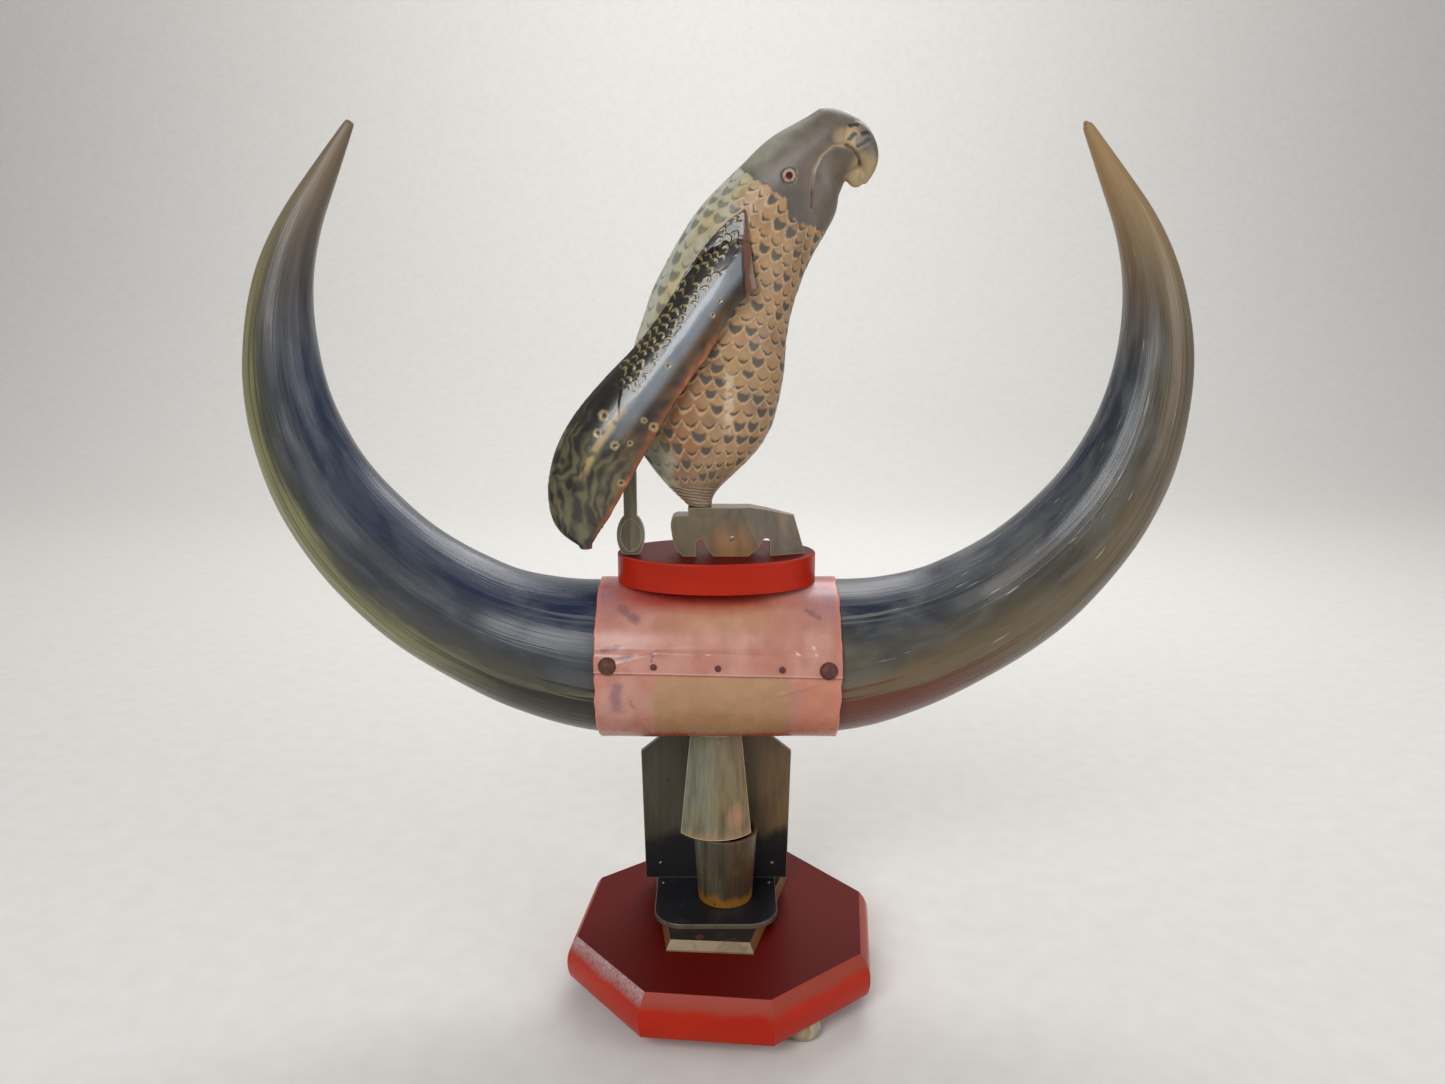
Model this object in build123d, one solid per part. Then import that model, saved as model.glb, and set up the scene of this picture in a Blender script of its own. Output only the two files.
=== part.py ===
from build123d import *

import os
from functools import cache
from math import atan2, copysign, cos, degrees, radians, sin, sqrt, tan

# A horn ornament: two polished cattle horns on a wrapped head block, a carved horn bird on an oval
# plinth above it, and a pedestal of horn plates on an eight-sided board with three horn feet.
# Lengths are millimetres and angles are degrees. +Z is up, -Y is the front, and the bird faces +X.
# The origin is on the floor, under the middle of the board.

FIT = 0.2  # gap left round pieces that are glued or slide into a seat

# Board and its feet
BOARD_WIDTH = 168.0  # across the flats of the top face
BOARD_THICKNESS = 25.0
BOARD_SIDES = 8
BOARD_SWELL = 6.0  # how far the rounded edge stands out past the top face
BOARD_SWELL_SHARE = 0.4  # height of the widest line, as a share of the thickness
BOARD_UNDERCUT = 1.5  # how far the edge draws in again below its widest line
BOARD_X = 3.0
BOARD_TURN = -6.0
FOOT_HEIGHT = 12.0
FOOT_RADIUS = 10.0
FOOT_TREAD_RADIUS = 7.0
FOOT_COUNT = 3
FOOT_INSET = 5.0  # foot centre to the flats of the board's top face
FOOT_TURN = -55.0
FOOT_SCREW_RADIUS = 1.6
FOOT_SCREW_HEAD_RADIUS = 3.4
FOOT_SCREW_SINK = 1.0
FOOT_SCREW_BITE = 13.0  # length in the board

# Pedestal, placed from the post's axis
POST_X = -1.5
POST_RADIUS = 8.0
POST_BOARD_DEPTH = 15.0
POST_HEAD_DEPTH = 20.0
POST_SCREW_RADIUS = 2.2
POST_SCREW_HEAD_RADIUS = 4.4
POST_SCREW_LENGTH = 36.0

FOOT_PLATE_FRONT_WIDTH = 51.0
FOOT_PLATE_FLARE = 12.0
FOOT_PLATE_REACH = 49.0  # post axis to the front edge
FOOT_PLATE_HEIGHT = 6.0
FOOT_PLATE_LIP = 1.0  # upright band below the bevel
FOOT_PLATE_BEVEL = 2.8
FOOT_PLATE_TURN = -4.0
FOOT_PLATE_BACK_MARGIN = 2.0  # how far the plate runs past the rail
FOOT_PLATE_SCREW_X = -6.5
FOOT_PLATE_SCREW_INSET = 6.5  # screw centre to the front edge
FOOT_PLATE_SCREW_RADIUS = 1.3
FOOT_PLATE_SCREW_HEAD_RADIUS = 2.7
FOOT_PLATE_SCREW_LENGTH = 18.0

SHELF_WIDTH = 75.0
SHELF_REACH = 33.5  # post axis to the front edge
SHELF_THICKNESS = 3.0
SHELF_CORNER_RADIUS = 18.0
SHELF_EDGE_ROUND = 0.8

CUP_HEIGHT = 45.0
CUP_FOOT_RADIUS = 16.5
CUP_RIM_RADIUS = 19.6
CUP_WALL = 2.6
CUP_EDGE_ROUND = 0.7

SKIRT_FOOT_RADIUS = 26.5
SKIRT_TOP_RADIUS = 19.0
SKIRT_WALL = 2.5
SKIRT_ARC = 108.0
SKIRT_LIFT = 0.8  # gap above the cup's rim

BACK_PLATE_SETBACK = 21.5  # post axis to the front face
BACK_PLATE_THICKNESS = 3.6
BACK_PLATE_FOOT_WIDTH = 90.0
BACK_PLATE_WIDTH = 94.0
BACK_PLATE_SHOULDER = 86.5  # height of the straight sides
BACK_PLATE_TOP_WIDTH = 28.0

RAIL_WIDTH = 84.0
RAIL_HEIGHT = 14.0
RAIL_DEPTH = 10.0
RAIL_SCREW_SPACING = 50.0
RAIL_SCREW_RADIUS = 1.5
RAIL_SCREW_HEAD_RADIUS = 3.0
RAIL_SCREW_LENGTH = 30.0
PLATE_PIN_SPACING = 71.0
PLATE_PIN_HEIGHT = 10.0
SHELF_PIN_SPACING = 67.0
SHELF_PIN_GAP = 6.0  # pin to the back plate's front face
PIN_RADIUS = 0.7
PIN_HEAD_RADIUS = 1.4
PIN_HEAD_HEIGHT = 0.8
PIN_LENGTH = 9.0

# Head block, wrap and horns
HEAD_Y = 6.0
HEAD_CLEARANCE = 108.5  # shelf top to the underside of the wrap
WRAP_RADIUS = 47.8
WRAP_WALL = 1.2
WRAP_LENGTH = 136.0
LAP_EDGE_ANGLE = 4.0  # lower edge of the lap, measured up from the front
LAP_TOP_ANGLE = 17.0
LAP_FADE_ANGLE = 5.0
DRUM_HALF_LENGTH = 22.0
TENON_LENGTH = 53.0

HORN_LEAD = 28.0  # straight run at the root
HORN_LOW_RADIUS = 205.0
HORN_LOW_ARC = 51.0
HORN_HIGH_RADIUS = 160.0
HORN_HIGH_ARC = 70.0
HORN_TIP_RUN = 48.0
HORN_ROOT_RADIUS = 40.6
HORN_TIP_RADIUS = 2.4
HORN_TAPER = 1.85  # power of the run by which the radius falls
HORN_FLARE = 5.0  # extra radius at the root
HORN_FLARE_START = 40.0
HORN_FLARE_END = 125.0
HORN_WALL = 6.0
HORN_CAVITY_LENGTH = 225.0
HORN_SECTIONS = 14

TACK_INSET = 7.0  # tack centre to the end of the wrap
TACK_ANGLE = 9.3
TACK_SLANT = -0.026  # degrees by which the row climbs, per millimetre to the right
TACK_HEAD_RADIUS = 5.0
TACK_HEAD_HEIGHT = 2.6
TACK_RADIUS = 1.4
TACK_LENGTH = 22.0
NAIL_SPACING = 35.5
NAIL_COUNT = 3
NAIL_HEAD_RADIUS = 1.8
NAIL_HEAD_HEIGHT = 0.9
NAIL_RADIUS = 0.8
NAIL_LENGTH = 15.0

# Plinth and perch
PLINTH_X = -1.0
PLINTH_LENGTH = 115.0
PLINTH_DEPTH = 72.0
PLINTH_THICKNESS = 17.5
PLINTH_SEAT = 1.6  # depth of the groove that sits on the wrap
PLINTH_EDGE_ROUND = 1.2
PLINTH_SCREW_SPACING = 32.0
PLINTH_SCREW_RADIUS = 1.7
PLINTH_SCREW_HEAD_RADIUS = 3.4
PLINTH_SCREW_LENGTH = 42.0

PERCH_X = -9.0
CLAW_Y = -2.0
CLAW_HEIGHT = 28.0
CLAW_THICKNESS = 14.0
CLAW_FOOT = (-11.0, 59.0)  # ends of its foot, forward of the leg
CLAW_LEFT_LOBE = (-17.5, 14.5)
CLAW_LOBE_TOP = (-13.0, 23.5)
CLAW_CROWN = (-8.0, 27.0)  # ends of its level top
CLAW_RIGHT_SHOULDER = (37.0, 26.0)
CLAW_RIGHT_CORNER = (52.5, 22.0)
CLAW_NOTCHES = ((-3.5, 6.2), (38.8, 26.6))  # upright side and slanting side of each
CLAW_NOTCH_HEIGHT = 10.0
CLAW_NOTCH_TOP_WIDTH = 5.0
CLAW_HOLE_X = 17.0
CLAW_HOLE_RADIUS = 1.6
CLAW_TURN_X = 34.0
CLAW_TURN = 20.0  # angle of the side that faces away
CLAW_TURN_LEAN = 24.0
CLAW_PEG_PLACES = (11.5, 47.0)
CLAW_PEG_SETBACK = 1.5
CLAW_PEG_RADIUS = 2.0
CLAW_PEG_DEPTH = 7.0

# Bird, in its own frame: X forward and Z up from the top of the perch under its leg
BIRD_Y = -2.0
LEG_TENON_RADIUS = 3.6
LEG_TENON_LENGTH = 11.0
# Sections from the leg to the tip of the beak: forward, up, heading, half depth and half width
BIRD_SECTIONS = (
    (-1.0, 0.0, 90.0, 6.8, 5.6),
    (-3.0, 4.0, 90.0, 8.8, 7.0),
    (-3.8, 12.5, 92.0, 16.0, 11.5),
    (-1.0, 26.5, 94.0, 28.8, 18.0),
    (-0.8, 42.0, 90.0, 38.0, 23.0),
    (0.5, 62.0, 84.0, 42.0, 25.0),
    (4.0, 82.0, 80.0, 42.0, 25.5),
    (8.5, 102.0, 74.0, 39.5, 25.0),
    (15.5, 122.0, 67.0, 36.5, 23.5),
    (24.5, 140.5, 60.0, 34.0, 22.0),
    (36.5, 158.0, 55.0, 30.5, 19.5),
    (47.0, 170.5, 50.0, 28.2, 18.0),
    (55.0, 180.0, 42.0, 26.2, 17.0),
    (63.5, 188.5, 26.0, 23.2, 16.0),
    (74.5, 195.5, 6.0, 19.5, 13.5),
    (82.0, 194.0, -9.0, 16.0, 10.5),
    (87.3, 191.8, -24.0, 11.5, 8.0),
    (90.4, 187.6, -52.0, 7.2, 5.6),
    (90.8, 182.4, -76.0, 4.6, 3.8),
    (89.6, 178.0, -96.0, 2.7, 2.3),
    (88.0, 175.0, -108.0, 1.1, 1.0),
)
EYE_PLACE = (46.2, 177.6)
EYE_RADIUS = 3.5
PUPIL_RADIUS = 1.9
EYE_DEPTH = 2.4
EYE_PROUD = 0.5

# Sections of the near wing, a curved plate: forward, up, heading, half width, rise and distance out
WING_SECTIONS = (
    (26.8, 137.6, -172.0, 24.5, 4.5, 18.0),
    (-4.5, 102.0, -131.0, 18.2, 7.5, 23.0),
    (-37.2, 60.4, -126.0, 20.6, 9.5, 26.0),
    (-56.3, 32.0, -116.0, 23.0, 10.0, 27.0),
    (-66.3, 3.5, -98.0, 18.6, 8.0, 27.0),
    (-63.4, -19.0, -84.0, 7.6, 3.8, 27.0),
)
WING_WALL = 3.2
WING_ROLL = 14.0  # turns the upper edge in towards the body

PROP_X = -41.0
PROP_BOWL_WIDTH = 16.0
PROP_BOWL_HEIGHT = 26.0
PROP_SOLE = 2.0  # cut from the bowl's end, so that it stands flat
PROP_NECK_WIDTH = 7.5
PROP_THICKNESS = 3.2
PROP_DISH = 1.0
PROP_TOP = 44.0  # height of its upper end above the perch

# Levels and places that follow from the sizes above
BOARD_TOP = FOOT_HEIGHT + BOARD_THICKNESS
SHELF_BOTTOM = BOARD_TOP + FOOT_PLATE_HEIGHT
SHELF_TOP = SHELF_BOTTOM + SHELF_THICKNESS
CUP_RIM = SHELF_TOP + CUP_HEIGHT
WRAP_BOTTOM = SHELF_TOP + HEAD_CLEARANCE
HEAD_Z = WRAP_BOTTOM + WRAP_RADIUS
DRUM_RADIUS = WRAP_RADIUS - WRAP_WALL - FIT
LAP_RADIUS = WRAP_RADIUS + WRAP_WALL
PLINTH_BOTTOM = HEAD_Z + WRAP_RADIUS - PLINTH_SEAT
PLINTH_TOP = PLINTH_BOTTOM + PLINTH_THICKNESS
PERCH_TOP = PLINTH_TOP + CLAW_HEIGHT
PLATE_FRONT = HEAD_Y + BACK_PLATE_SETBACK
RAIL_FRONT = PLATE_FRONT + BACK_PLATE_THICKNESS
RAIL_BACK = RAIL_FRONT + RAIL_DEPTH
FOOT_RING = BOARD_WIDTH / 2 - FOOT_INSET


def turned(profile: list[tuple[float, float]]) -> Part:
    """Solid turned round Z from the radius and height points of its half profile."""
    return revolve(Plane.XZ * make_face(Polyline(*profile, close=True)), Axis.Z)


def screw(radius: float, head_radius: float, length: float) -> Part:
    """Countersunk screw with its flat head up at Z = 0 and its point down."""
    neck = radius - head_radius
    point = 2 * radius - length
    return turned([(0, 0), (head_radius, 0), (radius, neck), (radius, point), (0, -length)])


def slotted(form: Part, head_radius: float) -> Part:
    """The screw with a driver slot across its head."""
    return form - Box(3 * head_radius, head_radius / 4, head_radius / 2)


def tack(radius: float, head_radius: float, head_height: float, length: float) -> Part:
    """Domed tack: its head stands on Z = 0 and its shank points down."""
    ball_radius = (head_radius**2 + head_height**2) / (2 * head_height)
    ball = Pos(0, 0, head_height - ball_radius) * Sphere(ball_radius)
    dome = ball & Pos(0, 0, ball_radius) * Box(3 * ball_radius, 3 * ball_radius, 2 * ball_radius)
    return dome + turned([(0, 0), (radius, 0), (radius, 3 * radius - length), (0, -length)])


def upside_down(part: Part) -> Part:
    return Rot(180, 0, 0) * part


def less(part: Part, cutters: list[Part]) -> Part:
    """The part with every cutter taken out of it."""
    for cutter in cutters:
        part -= cutter
    return part


def bore(radius: float, depth: float) -> Part:
    """Round hole that goes down from Z = 0."""
    return Pos(0, 0, -depth / 2) * Cylinder(radius, depth)


# Board and feet


def foot_places() -> list[Location]:
    """Centres of the feet on the floor, evenly round the board."""
    step = 360 / FOOT_COUNT
    ring = [Rot(0, 0, FOOT_TURN + step * turn) * Pos(FOOT_RING, 0, 0) for turn in range(FOOT_COUNT)]
    return [Pos(BOARD_X, 0, 0) * place for place in ring]


def foot_screw_forms(slot: bool = False) -> list[Part]:
    """Screws that go up through the feet, with their heads sunk in the treads."""
    length = FOOT_HEIGHT - FOOT_SCREW_SINK + FOOT_SCREW_BITE
    form = screw(FOOT_SCREW_RADIUS, FOOT_SCREW_HEAD_RADIUS, length)
    if slot:
        form = slotted(form, FOOT_SCREW_HEAD_RADIUS)
    return [place * Pos(0, 0, FOOT_SCREW_SINK) * upside_down(form) for place in foot_places()]


def base_feet() -> list[Part]:
    """Turned horn buttons with a flat tread and a rounded flank."""
    waist = (FOOT_RADIUS, 0.55 * FOOT_HEIGHT)
    bulge = (0.3 * FOOT_TREAD_RADIUS + 0.7 * FOOT_RADIUS, 0.15 * FOOT_HEIGHT)
    flank = ThreePointArc((FOOT_TREAD_RADIUS, 0), bulge, waist)
    top = (0.92 * FOOT_RADIUS, FOOT_HEIGHT)
    rest = Polyline(waist, top, (0, FOOT_HEIGHT), (0, 0), (FOOT_TREAD_RADIUS, 0))
    button = revolve(Plane.XZ * make_face([flank, *rest.edges()]), Axis.Z)
    button -= Pos(0, 0, FOOT_SCREW_SINK) * bore(FOOT_SCREW_HEAD_RADIUS, FOOT_SCREW_SINK)
    return [place * button - form for place, form in zip(foot_places(), foot_screw_forms())]


def base_board() -> Part:
    """Board whose rounded bar section is crossed with itself, so that its corners are mitred."""
    half = BOARD_WIDTH / 2
    foot = half + BOARD_SWELL - BOARD_UNDERCUT
    wide = half + BOARD_SWELL
    wide_height = BOARD_SWELL_SHARE * BOARD_THICKNESS
    right = ThreePointArc((foot, 0), (wide, wide_height), (half, BOARD_THICKNESS))
    left = ThreePointArc((-half, BOARD_THICKNESS), (-wide, wide_height), (-foot, 0))
    top = Line((half, BOARD_THICKNESS), (-half, BOARD_THICKNESS))
    section = Plane.XZ * make_face([right, top, left, Line((-foot, 0), (foot, 0))])
    bar = extrude(section, amount=BOARD_WIDTH, both=True)
    board = bar
    for side in range(1, BOARD_SIDES // 2):
        board &= Rot(0, 0, 360 / BOARD_SIDES * side) * bar
    board = Pos(BOARD_X, 0, FOOT_HEIGHT) * Rot(0, 0, BOARD_TURN) * board
    board -= Pos(POST_X, HEAD_Y, BOARD_TOP) * bore(POST_RADIUS + FIT, POST_BOARD_DEPTH)
    fasteners = [*foot_screw_forms(), post_screw(), foot_plate_screw(), *rail_screws()]
    return less(board, fasteners)


# Pedestal


def post_screw(slot: bool = False) -> Part:
    """Screw that goes up through the board into the post."""
    form = screw(POST_SCREW_RADIUS, POST_SCREW_HEAD_RADIUS, POST_SCREW_LENGTH)
    if slot:
        form = slotted(form, POST_SCREW_HEAD_RADIUS)
    return Pos(POST_X, HEAD_Y, FOOT_HEIGHT) * upside_down(form)


def post_form() -> Part:
    bottom = BOARD_TOP - POST_BOARD_DEPTH
    length = WRAP_BOTTOM + WRAP_WALL + FIT + POST_HEAD_DEPTH - bottom
    return Pos(POST_X, HEAD_Y, bottom + length / 2) * Cylinder(POST_RADIUS, length)


def post() -> Part:
    """Dowel that carries the head block on the board."""
    return post_form() - post_screw()


def post_clearance() -> Part:
    """The post with its gluing gap, for the holes that it passes through."""
    height = HEAD_Z
    return Pos(POST_X, HEAD_Y, height / 2) * Cylinder(POST_RADIUS + FIT, height)


def foot_plate_screw(slot: bool = False) -> Part:
    form = screw(FOOT_PLATE_SCREW_RADIUS, FOOT_PLATE_SCREW_HEAD_RADIUS, FOOT_PLATE_SCREW_LENGTH)
    if slot:
        form = slotted(form, FOOT_PLATE_SCREW_HEAD_RADIUS)
    front = FOOT_PLATE_SCREW_INSET - FOOT_PLATE_REACH
    return pedestal_turn() * Pos(FOOT_PLATE_SCREW_X, front, SHELF_BOTTOM) * form


def pedestal_turn() -> Location:
    """The post's axis, turned as the foot plate is."""
    return Pos(POST_X, HEAD_Y, 0) * Rot(0, 0, FOOT_PLATE_TURN)


def foot_plate() -> Part:
    """Horn plate with a bevelled edge, narrower at the front, flat on the board."""
    back = RAIL_BACK - HEAD_Y + FOOT_PLATE_BACK_MARGIN
    half_front = FOOT_PLATE_FRONT_WIDTH / 2
    half_back = half_front + (FOOT_PLATE_REACH + back) * tan(radians(FOOT_PLATE_FLARE))
    front = -FOOT_PLATE_REACH
    outline = [(-half_front, front), (half_front, front), (half_back, back), (-half_back, back)]
    face = make_face(Polyline(*outline, close=True))
    rise = FOOT_PLATE_HEIGHT - FOOT_PLATE_LIP
    slope = degrees(atan2(FOOT_PLATE_BEVEL, rise))
    plate = extrude(face, amount=FOOT_PLATE_LIP)
    plate += extrude(Pos(0, 0, FOOT_PLATE_LIP) * face, amount=rise, taper=slope)
    plate = pedestal_turn() * Pos(0, 0, BOARD_TOP) * plate
    return less(plate, [post_clearance(), foot_plate_screw(), *shelf_pins(), *rail_screws()])


def shelf_pins() -> list[Part]:
    """Pins at the back corners of the shelf, in front of the back plate."""
    pin = tack(PIN_RADIUS, PIN_HEAD_RADIUS, PIN_HEAD_HEIGHT, min(PIN_LENGTH, SHELF_TOP - BOARD_TOP))
    side = SHELF_PIN_SPACING / 2
    return [Pos(POST_X + x, PLATE_FRONT - SHELF_PIN_GAP, SHELF_TOP) * pin for x in (-side, side)]


def shelf_plate() -> Part:
    """Thin dark horn plate with large front corners, which runs back under plate and rail."""
    depth = SHELF_REACH + RAIL_BACK - HEAD_Y
    sheet = Rectangle(SHELF_WIDTH, depth)
    sheet = fillet(sheet.vertices().group_by(Axis.Y)[0], SHELF_CORNER_RADIUS)
    slab = extrude(sheet, amount=SHELF_THICKNESS)
    slab = fillet(slab.faces().sort_by(Axis.Z)[-1].edges(), SHELF_EDGE_ROUND)
    shelf = Pos(POST_X, HEAD_Y - SHELF_REACH + depth / 2, SHELF_BOTTOM) * slab
    return less(shelf, [post_clearance(), *shelf_pins(), *rail_screws()])


def cup() -> Part:
    """Hollow horn ring, wider at its rim, that leans on one side of the post."""
    outer = Cone(CUP_FOOT_RADIUS, CUP_RIM_RADIUS, CUP_HEIGHT)
    ring = outer - Cone(CUP_FOOT_RADIUS - CUP_WALL, CUP_RIM_RADIUS - CUP_WALL, CUP_HEIGHT)
    ring = fillet(ring.edges().filter_by(GeomType.CIRCLE), CUP_EDGE_ROUND)
    lean = CUP_FOOT_RADIUS - CUP_WALL - POST_RADIUS - FIT
    return Pos(POST_X + lean, HEAD_Y, SHELF_TOP + CUP_HEIGHT / 2) * ring


def skirt_plate() -> Part:
    """Curved horn plate between the cup's rim and the wrap, a slice of a cone before the post."""
    bottom = CUP_RIM + SKIRT_LIFT
    centre = HEAD_Y + SKIRT_TOP_RADIUS - SKIRT_WALL - POST_RADIUS - FIT
    height = HEAD_Z - bottom
    wall = [
        (SKIRT_FOOT_RADIUS - SKIRT_WALL, 0),
        (SKIRT_FOOT_RADIUS, 0),
        (SKIRT_TOP_RADIUS, WRAP_BOTTOM - bottom),
        (SKIRT_TOP_RADIUS, height),
        (SKIRT_TOP_RADIUS - SKIRT_WALL, height),
        (SKIRT_TOP_RADIUS - SKIRT_WALL, WRAP_BOTTOM - bottom),
    ]
    face = Plane.XZ * make_face(Polyline(*wall, close=True))
    shell = Rot(0, 0, -90 - SKIRT_ARC / 2) * revolve(face, Axis.Z, SKIRT_ARC)
    return Pos(POST_X, centre, bottom) * shell - wrap_space()


def wrap_space() -> Part:
    """Room for the wrap, with the gap that curved seats keep."""
    return Pos(0, HEAD_Y, HEAD_Z) * Rot(0, 90, 0) * Cylinder(WRAP_RADIUS + FIT, 2 * WRAP_LENGTH)


def back_plate_pins() -> list[Part]:
    """Pins through the plate's foot into the rail behind it."""
    pin = Rot(90, 0, 0) * tack(PIN_RADIUS, PIN_HEAD_RADIUS, PIN_HEAD_HEIGHT, PIN_LENGTH)
    side = PLATE_PIN_SPACING / 2
    height = SHELF_TOP + PLATE_PIN_HEIGHT
    return [Pos(POST_X + x, PLATE_FRONT, height) * pin for x in (-side, side)]


def back_plate() -> Part:
    """Flat horn plate with cut top corners, which stands on the shelf and meets the wrap."""
    reach = BACK_PLATE_SETBACK
    top = HEAD_CLEARANCE + WRAP_RADIUS - sqrt((WRAP_RADIUS + FIT) ** 2 - reach**2)
    half_foot = BACK_PLATE_FOOT_WIDTH / 2
    half_width = BACK_PLATE_WIDTH / 2
    half_top = BACK_PLATE_TOP_WIDTH / 2
    outline = [
        (-half_foot, 0),
        (half_foot, 0),
        (half_width, BACK_PLATE_SHOULDER),
        (half_top, top),
        (-half_top, top),
        (-half_width, BACK_PLATE_SHOULDER),
    ]
    plate = extrude(Plane.XZ * make_face(Polyline(*outline, close=True)), amount=-BACK_PLATE_THICKNESS)
    return less(Pos(POST_X, PLATE_FRONT, SHELF_TOP) * plate, back_plate_pins())


def rail_screws(slot: bool = False) -> list[Part]:
    form = screw(RAIL_SCREW_RADIUS, RAIL_SCREW_HEAD_RADIUS, RAIL_SCREW_LENGTH)
    if slot:
        form = slotted(form, RAIL_SCREW_HEAD_RADIUS)
    side = RAIL_SCREW_SPACING / 2
    middle = (RAIL_FRONT + RAIL_BACK) / 2
    return [Pos(POST_X + x, middle, SHELF_TOP + RAIL_HEIGHT) * form for x in (-side, side)]


def back_rail() -> Part:
    """Wooden rail behind the back plate's foot."""
    place = Pos(POST_X, (RAIL_FRONT + RAIL_BACK) / 2, SHELF_TOP + RAIL_HEIGHT / 2)
    return less(place * Box(RAIL_WIDTH, RAIL_DEPTH, RAIL_HEIGHT), [*back_plate_pins(), *rail_screws()])


# Head block, horns and wrap


def horn_line() -> Wire:
    """Centre line of the right horn: a straight root, two bends and a straight tip."""
    root = Line((DRUM_HALF_LENGTH, 0), (DRUM_HALF_LENGTH + HORN_LEAD, 0))
    low = JernArc(root @ 1, root % 1, HORN_LOW_RADIUS, HORN_LOW_ARC)
    high = JernArc(low @ 1, low % 1, HORN_HIGH_RADIUS, HORN_HIGH_ARC)
    tip = Line(high @ 1, high @ 1 + HORN_TIP_RUN * (high % 1))
    upright = Plane(origin=(0, HEAD_Y, HEAD_Z), x_dir=(1, 0, 0), z_dir=(0, -1, 0))
    return upright * Wire([root, low, high, tip])


def horn_radius(run: float, length: float) -> float:
    """Outer radius at a distance along the centre line, which falls ever faster, with a flare at the root."""
    taper = HORN_ROOT_RADIUS - (HORN_ROOT_RADIUS - HORN_TIP_RADIUS) * (run / length) ** HORN_TAPER
    share = (run - HORN_FLARE_START) / (HORN_FLARE_END - HORN_FLARE_START)
    share = min(1.0, max(0.0, share))
    return taper + HORN_FLARE * (1 - share * share * (3 - 2 * share))


def horn_form(inset: float, end: float | None = None) -> Part:
    """Horn-shaped solid whose surface lies the inset inside the horn's, from its root to the end."""
    line = horn_line()
    length = line.length
    end = end or length
    sections = []
    for number in range(HORN_SECTIONS):
        run = end * number / (HORN_SECTIONS - 1)
        centre = line.position_at(run, position_mode=PositionMode.LENGTH)
        along = line.tangent_at(run, position_mode=PositionMode.LENGTH)
        plane = Plane(origin=centre, x_dir=(0, 1, 0), z_dir=along)
        sections.append(plane * Circle(horn_radius(run, length) - inset))
    return loft(sections)


def horn_shell() -> Part:
    """Hollow right horn, whose root takes the drum's tenon."""
    return horn_form(0) - horn_form(HORN_WALL, HORN_CAVITY_LENGTH)


def horn_right() -> Part:
    return less(horn_shell(), [*seam_tacks(), *seam_nails()])


def horn_left() -> Part:
    return less(mirror(horn_shell(), about=Plane.YZ), [*seam_tacks(), *seam_nails()])


def head_core() -> Part:
    """Wooden drum between the horns, with a tenon in each hollow root and a socket for the post."""
    drum = Pos(0, HEAD_Y, HEAD_Z) * Rot(0, 90, 0) * Cylinder(DRUM_RADIUS, 2 * DRUM_HALF_LENGTH)
    tenon = horn_form(HORN_WALL + FIT, TENON_LENGTH)
    core = drum + tenon + mirror(tenon, about=Plane.YZ)
    socket_top = post_form().bounding_box().max.Z
    core -= post_clearance() & Pos(POST_X, HEAD_Y, socket_top / 2) * Box(HEAD_Z, HEAD_Z, socket_top)
    return less(core, [*seam_tacks(), *seam_nails(), *plinth_screws()])


def lap_place(x: float) -> Location:
    """Point of the tack row on the outside of the lap, with Z pointing out of it."""
    angle = radians(TACK_ANGLE + TACK_SLANT * x)
    out = (0, -cos(angle), sin(angle))
    origin = (x, HEAD_Y + LAP_RADIUS * out[1], HEAD_Z + LAP_RADIUS * out[2])
    return Plane(origin=origin, x_dir=(1, 0, 0), z_dir=out).location


def seam_tacks() -> list[Part]:
    """Large domed tacks at the ends of the lap, which also hold the horns on their tenons."""
    form = tack(TACK_RADIUS, TACK_HEAD_RADIUS, TACK_HEAD_HEIGHT, TACK_LENGTH)
    side = WRAP_LENGTH / 2 - TACK_INSET
    return [lap_place(x) * form for x in (-side, side)]


def seam_nails() -> list[Part]:
    form = tack(NAIL_RADIUS, NAIL_HEAD_RADIUS, NAIL_HEAD_HEIGHT, NAIL_LENGTH)
    first = -NAIL_SPACING * (NAIL_COUNT - 1) / 2
    return [lap_place(first + NAIL_SPACING * number) * form for number in range(NAIL_COUNT)]


def around(radius: float, angle: float) -> tuple[float, float]:
    """Point in the Y-Z plane, at an angle up from the front of the head's axis."""
    return -radius * cos(radians(angle)), radius * sin(radians(angle))


def wrap_sheet() -> Part:
    """Sheet bent round drum and horn roots, with its upper edge lapped over at the front."""
    top = LAP_EDGE_ANGLE + LAP_TOP_ANGLE
    fade = top + LAP_FADE_ANGLE
    inner = around(WRAP_RADIUS, LAP_EDGE_ANGLE)
    edge = Line(inner, around(LAP_RADIUS, LAP_EDGE_ANGLE))
    face = ThreePointArc(edge @ 1, around(LAP_RADIUS, (LAP_EDGE_ANGLE + top) / 2), around(LAP_RADIUS, top))
    slope = Line(face @ 1, around(WRAP_RADIUS, fade))
    seat = ThreePointArc(slope @ 1, around(WRAP_RADIUS, (LAP_EDGE_ANGLE + fade) / 2), inner)
    ring = Circle(WRAP_RADIUS) - Circle(WRAP_RADIUS - WRAP_WALL)
    section = ring + make_face([edge, face, slope, seat])
    sheet = extrude(Plane.YZ * section, amount=WRAP_LENGTH / 2, both=True)
    sheet = Pos(0, HEAD_Y, HEAD_Z) * sheet
    return less(sheet, [post_clearance(), *seam_tacks(), *seam_nails(), *plinth_screws()])


# Plinth and perch


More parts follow.
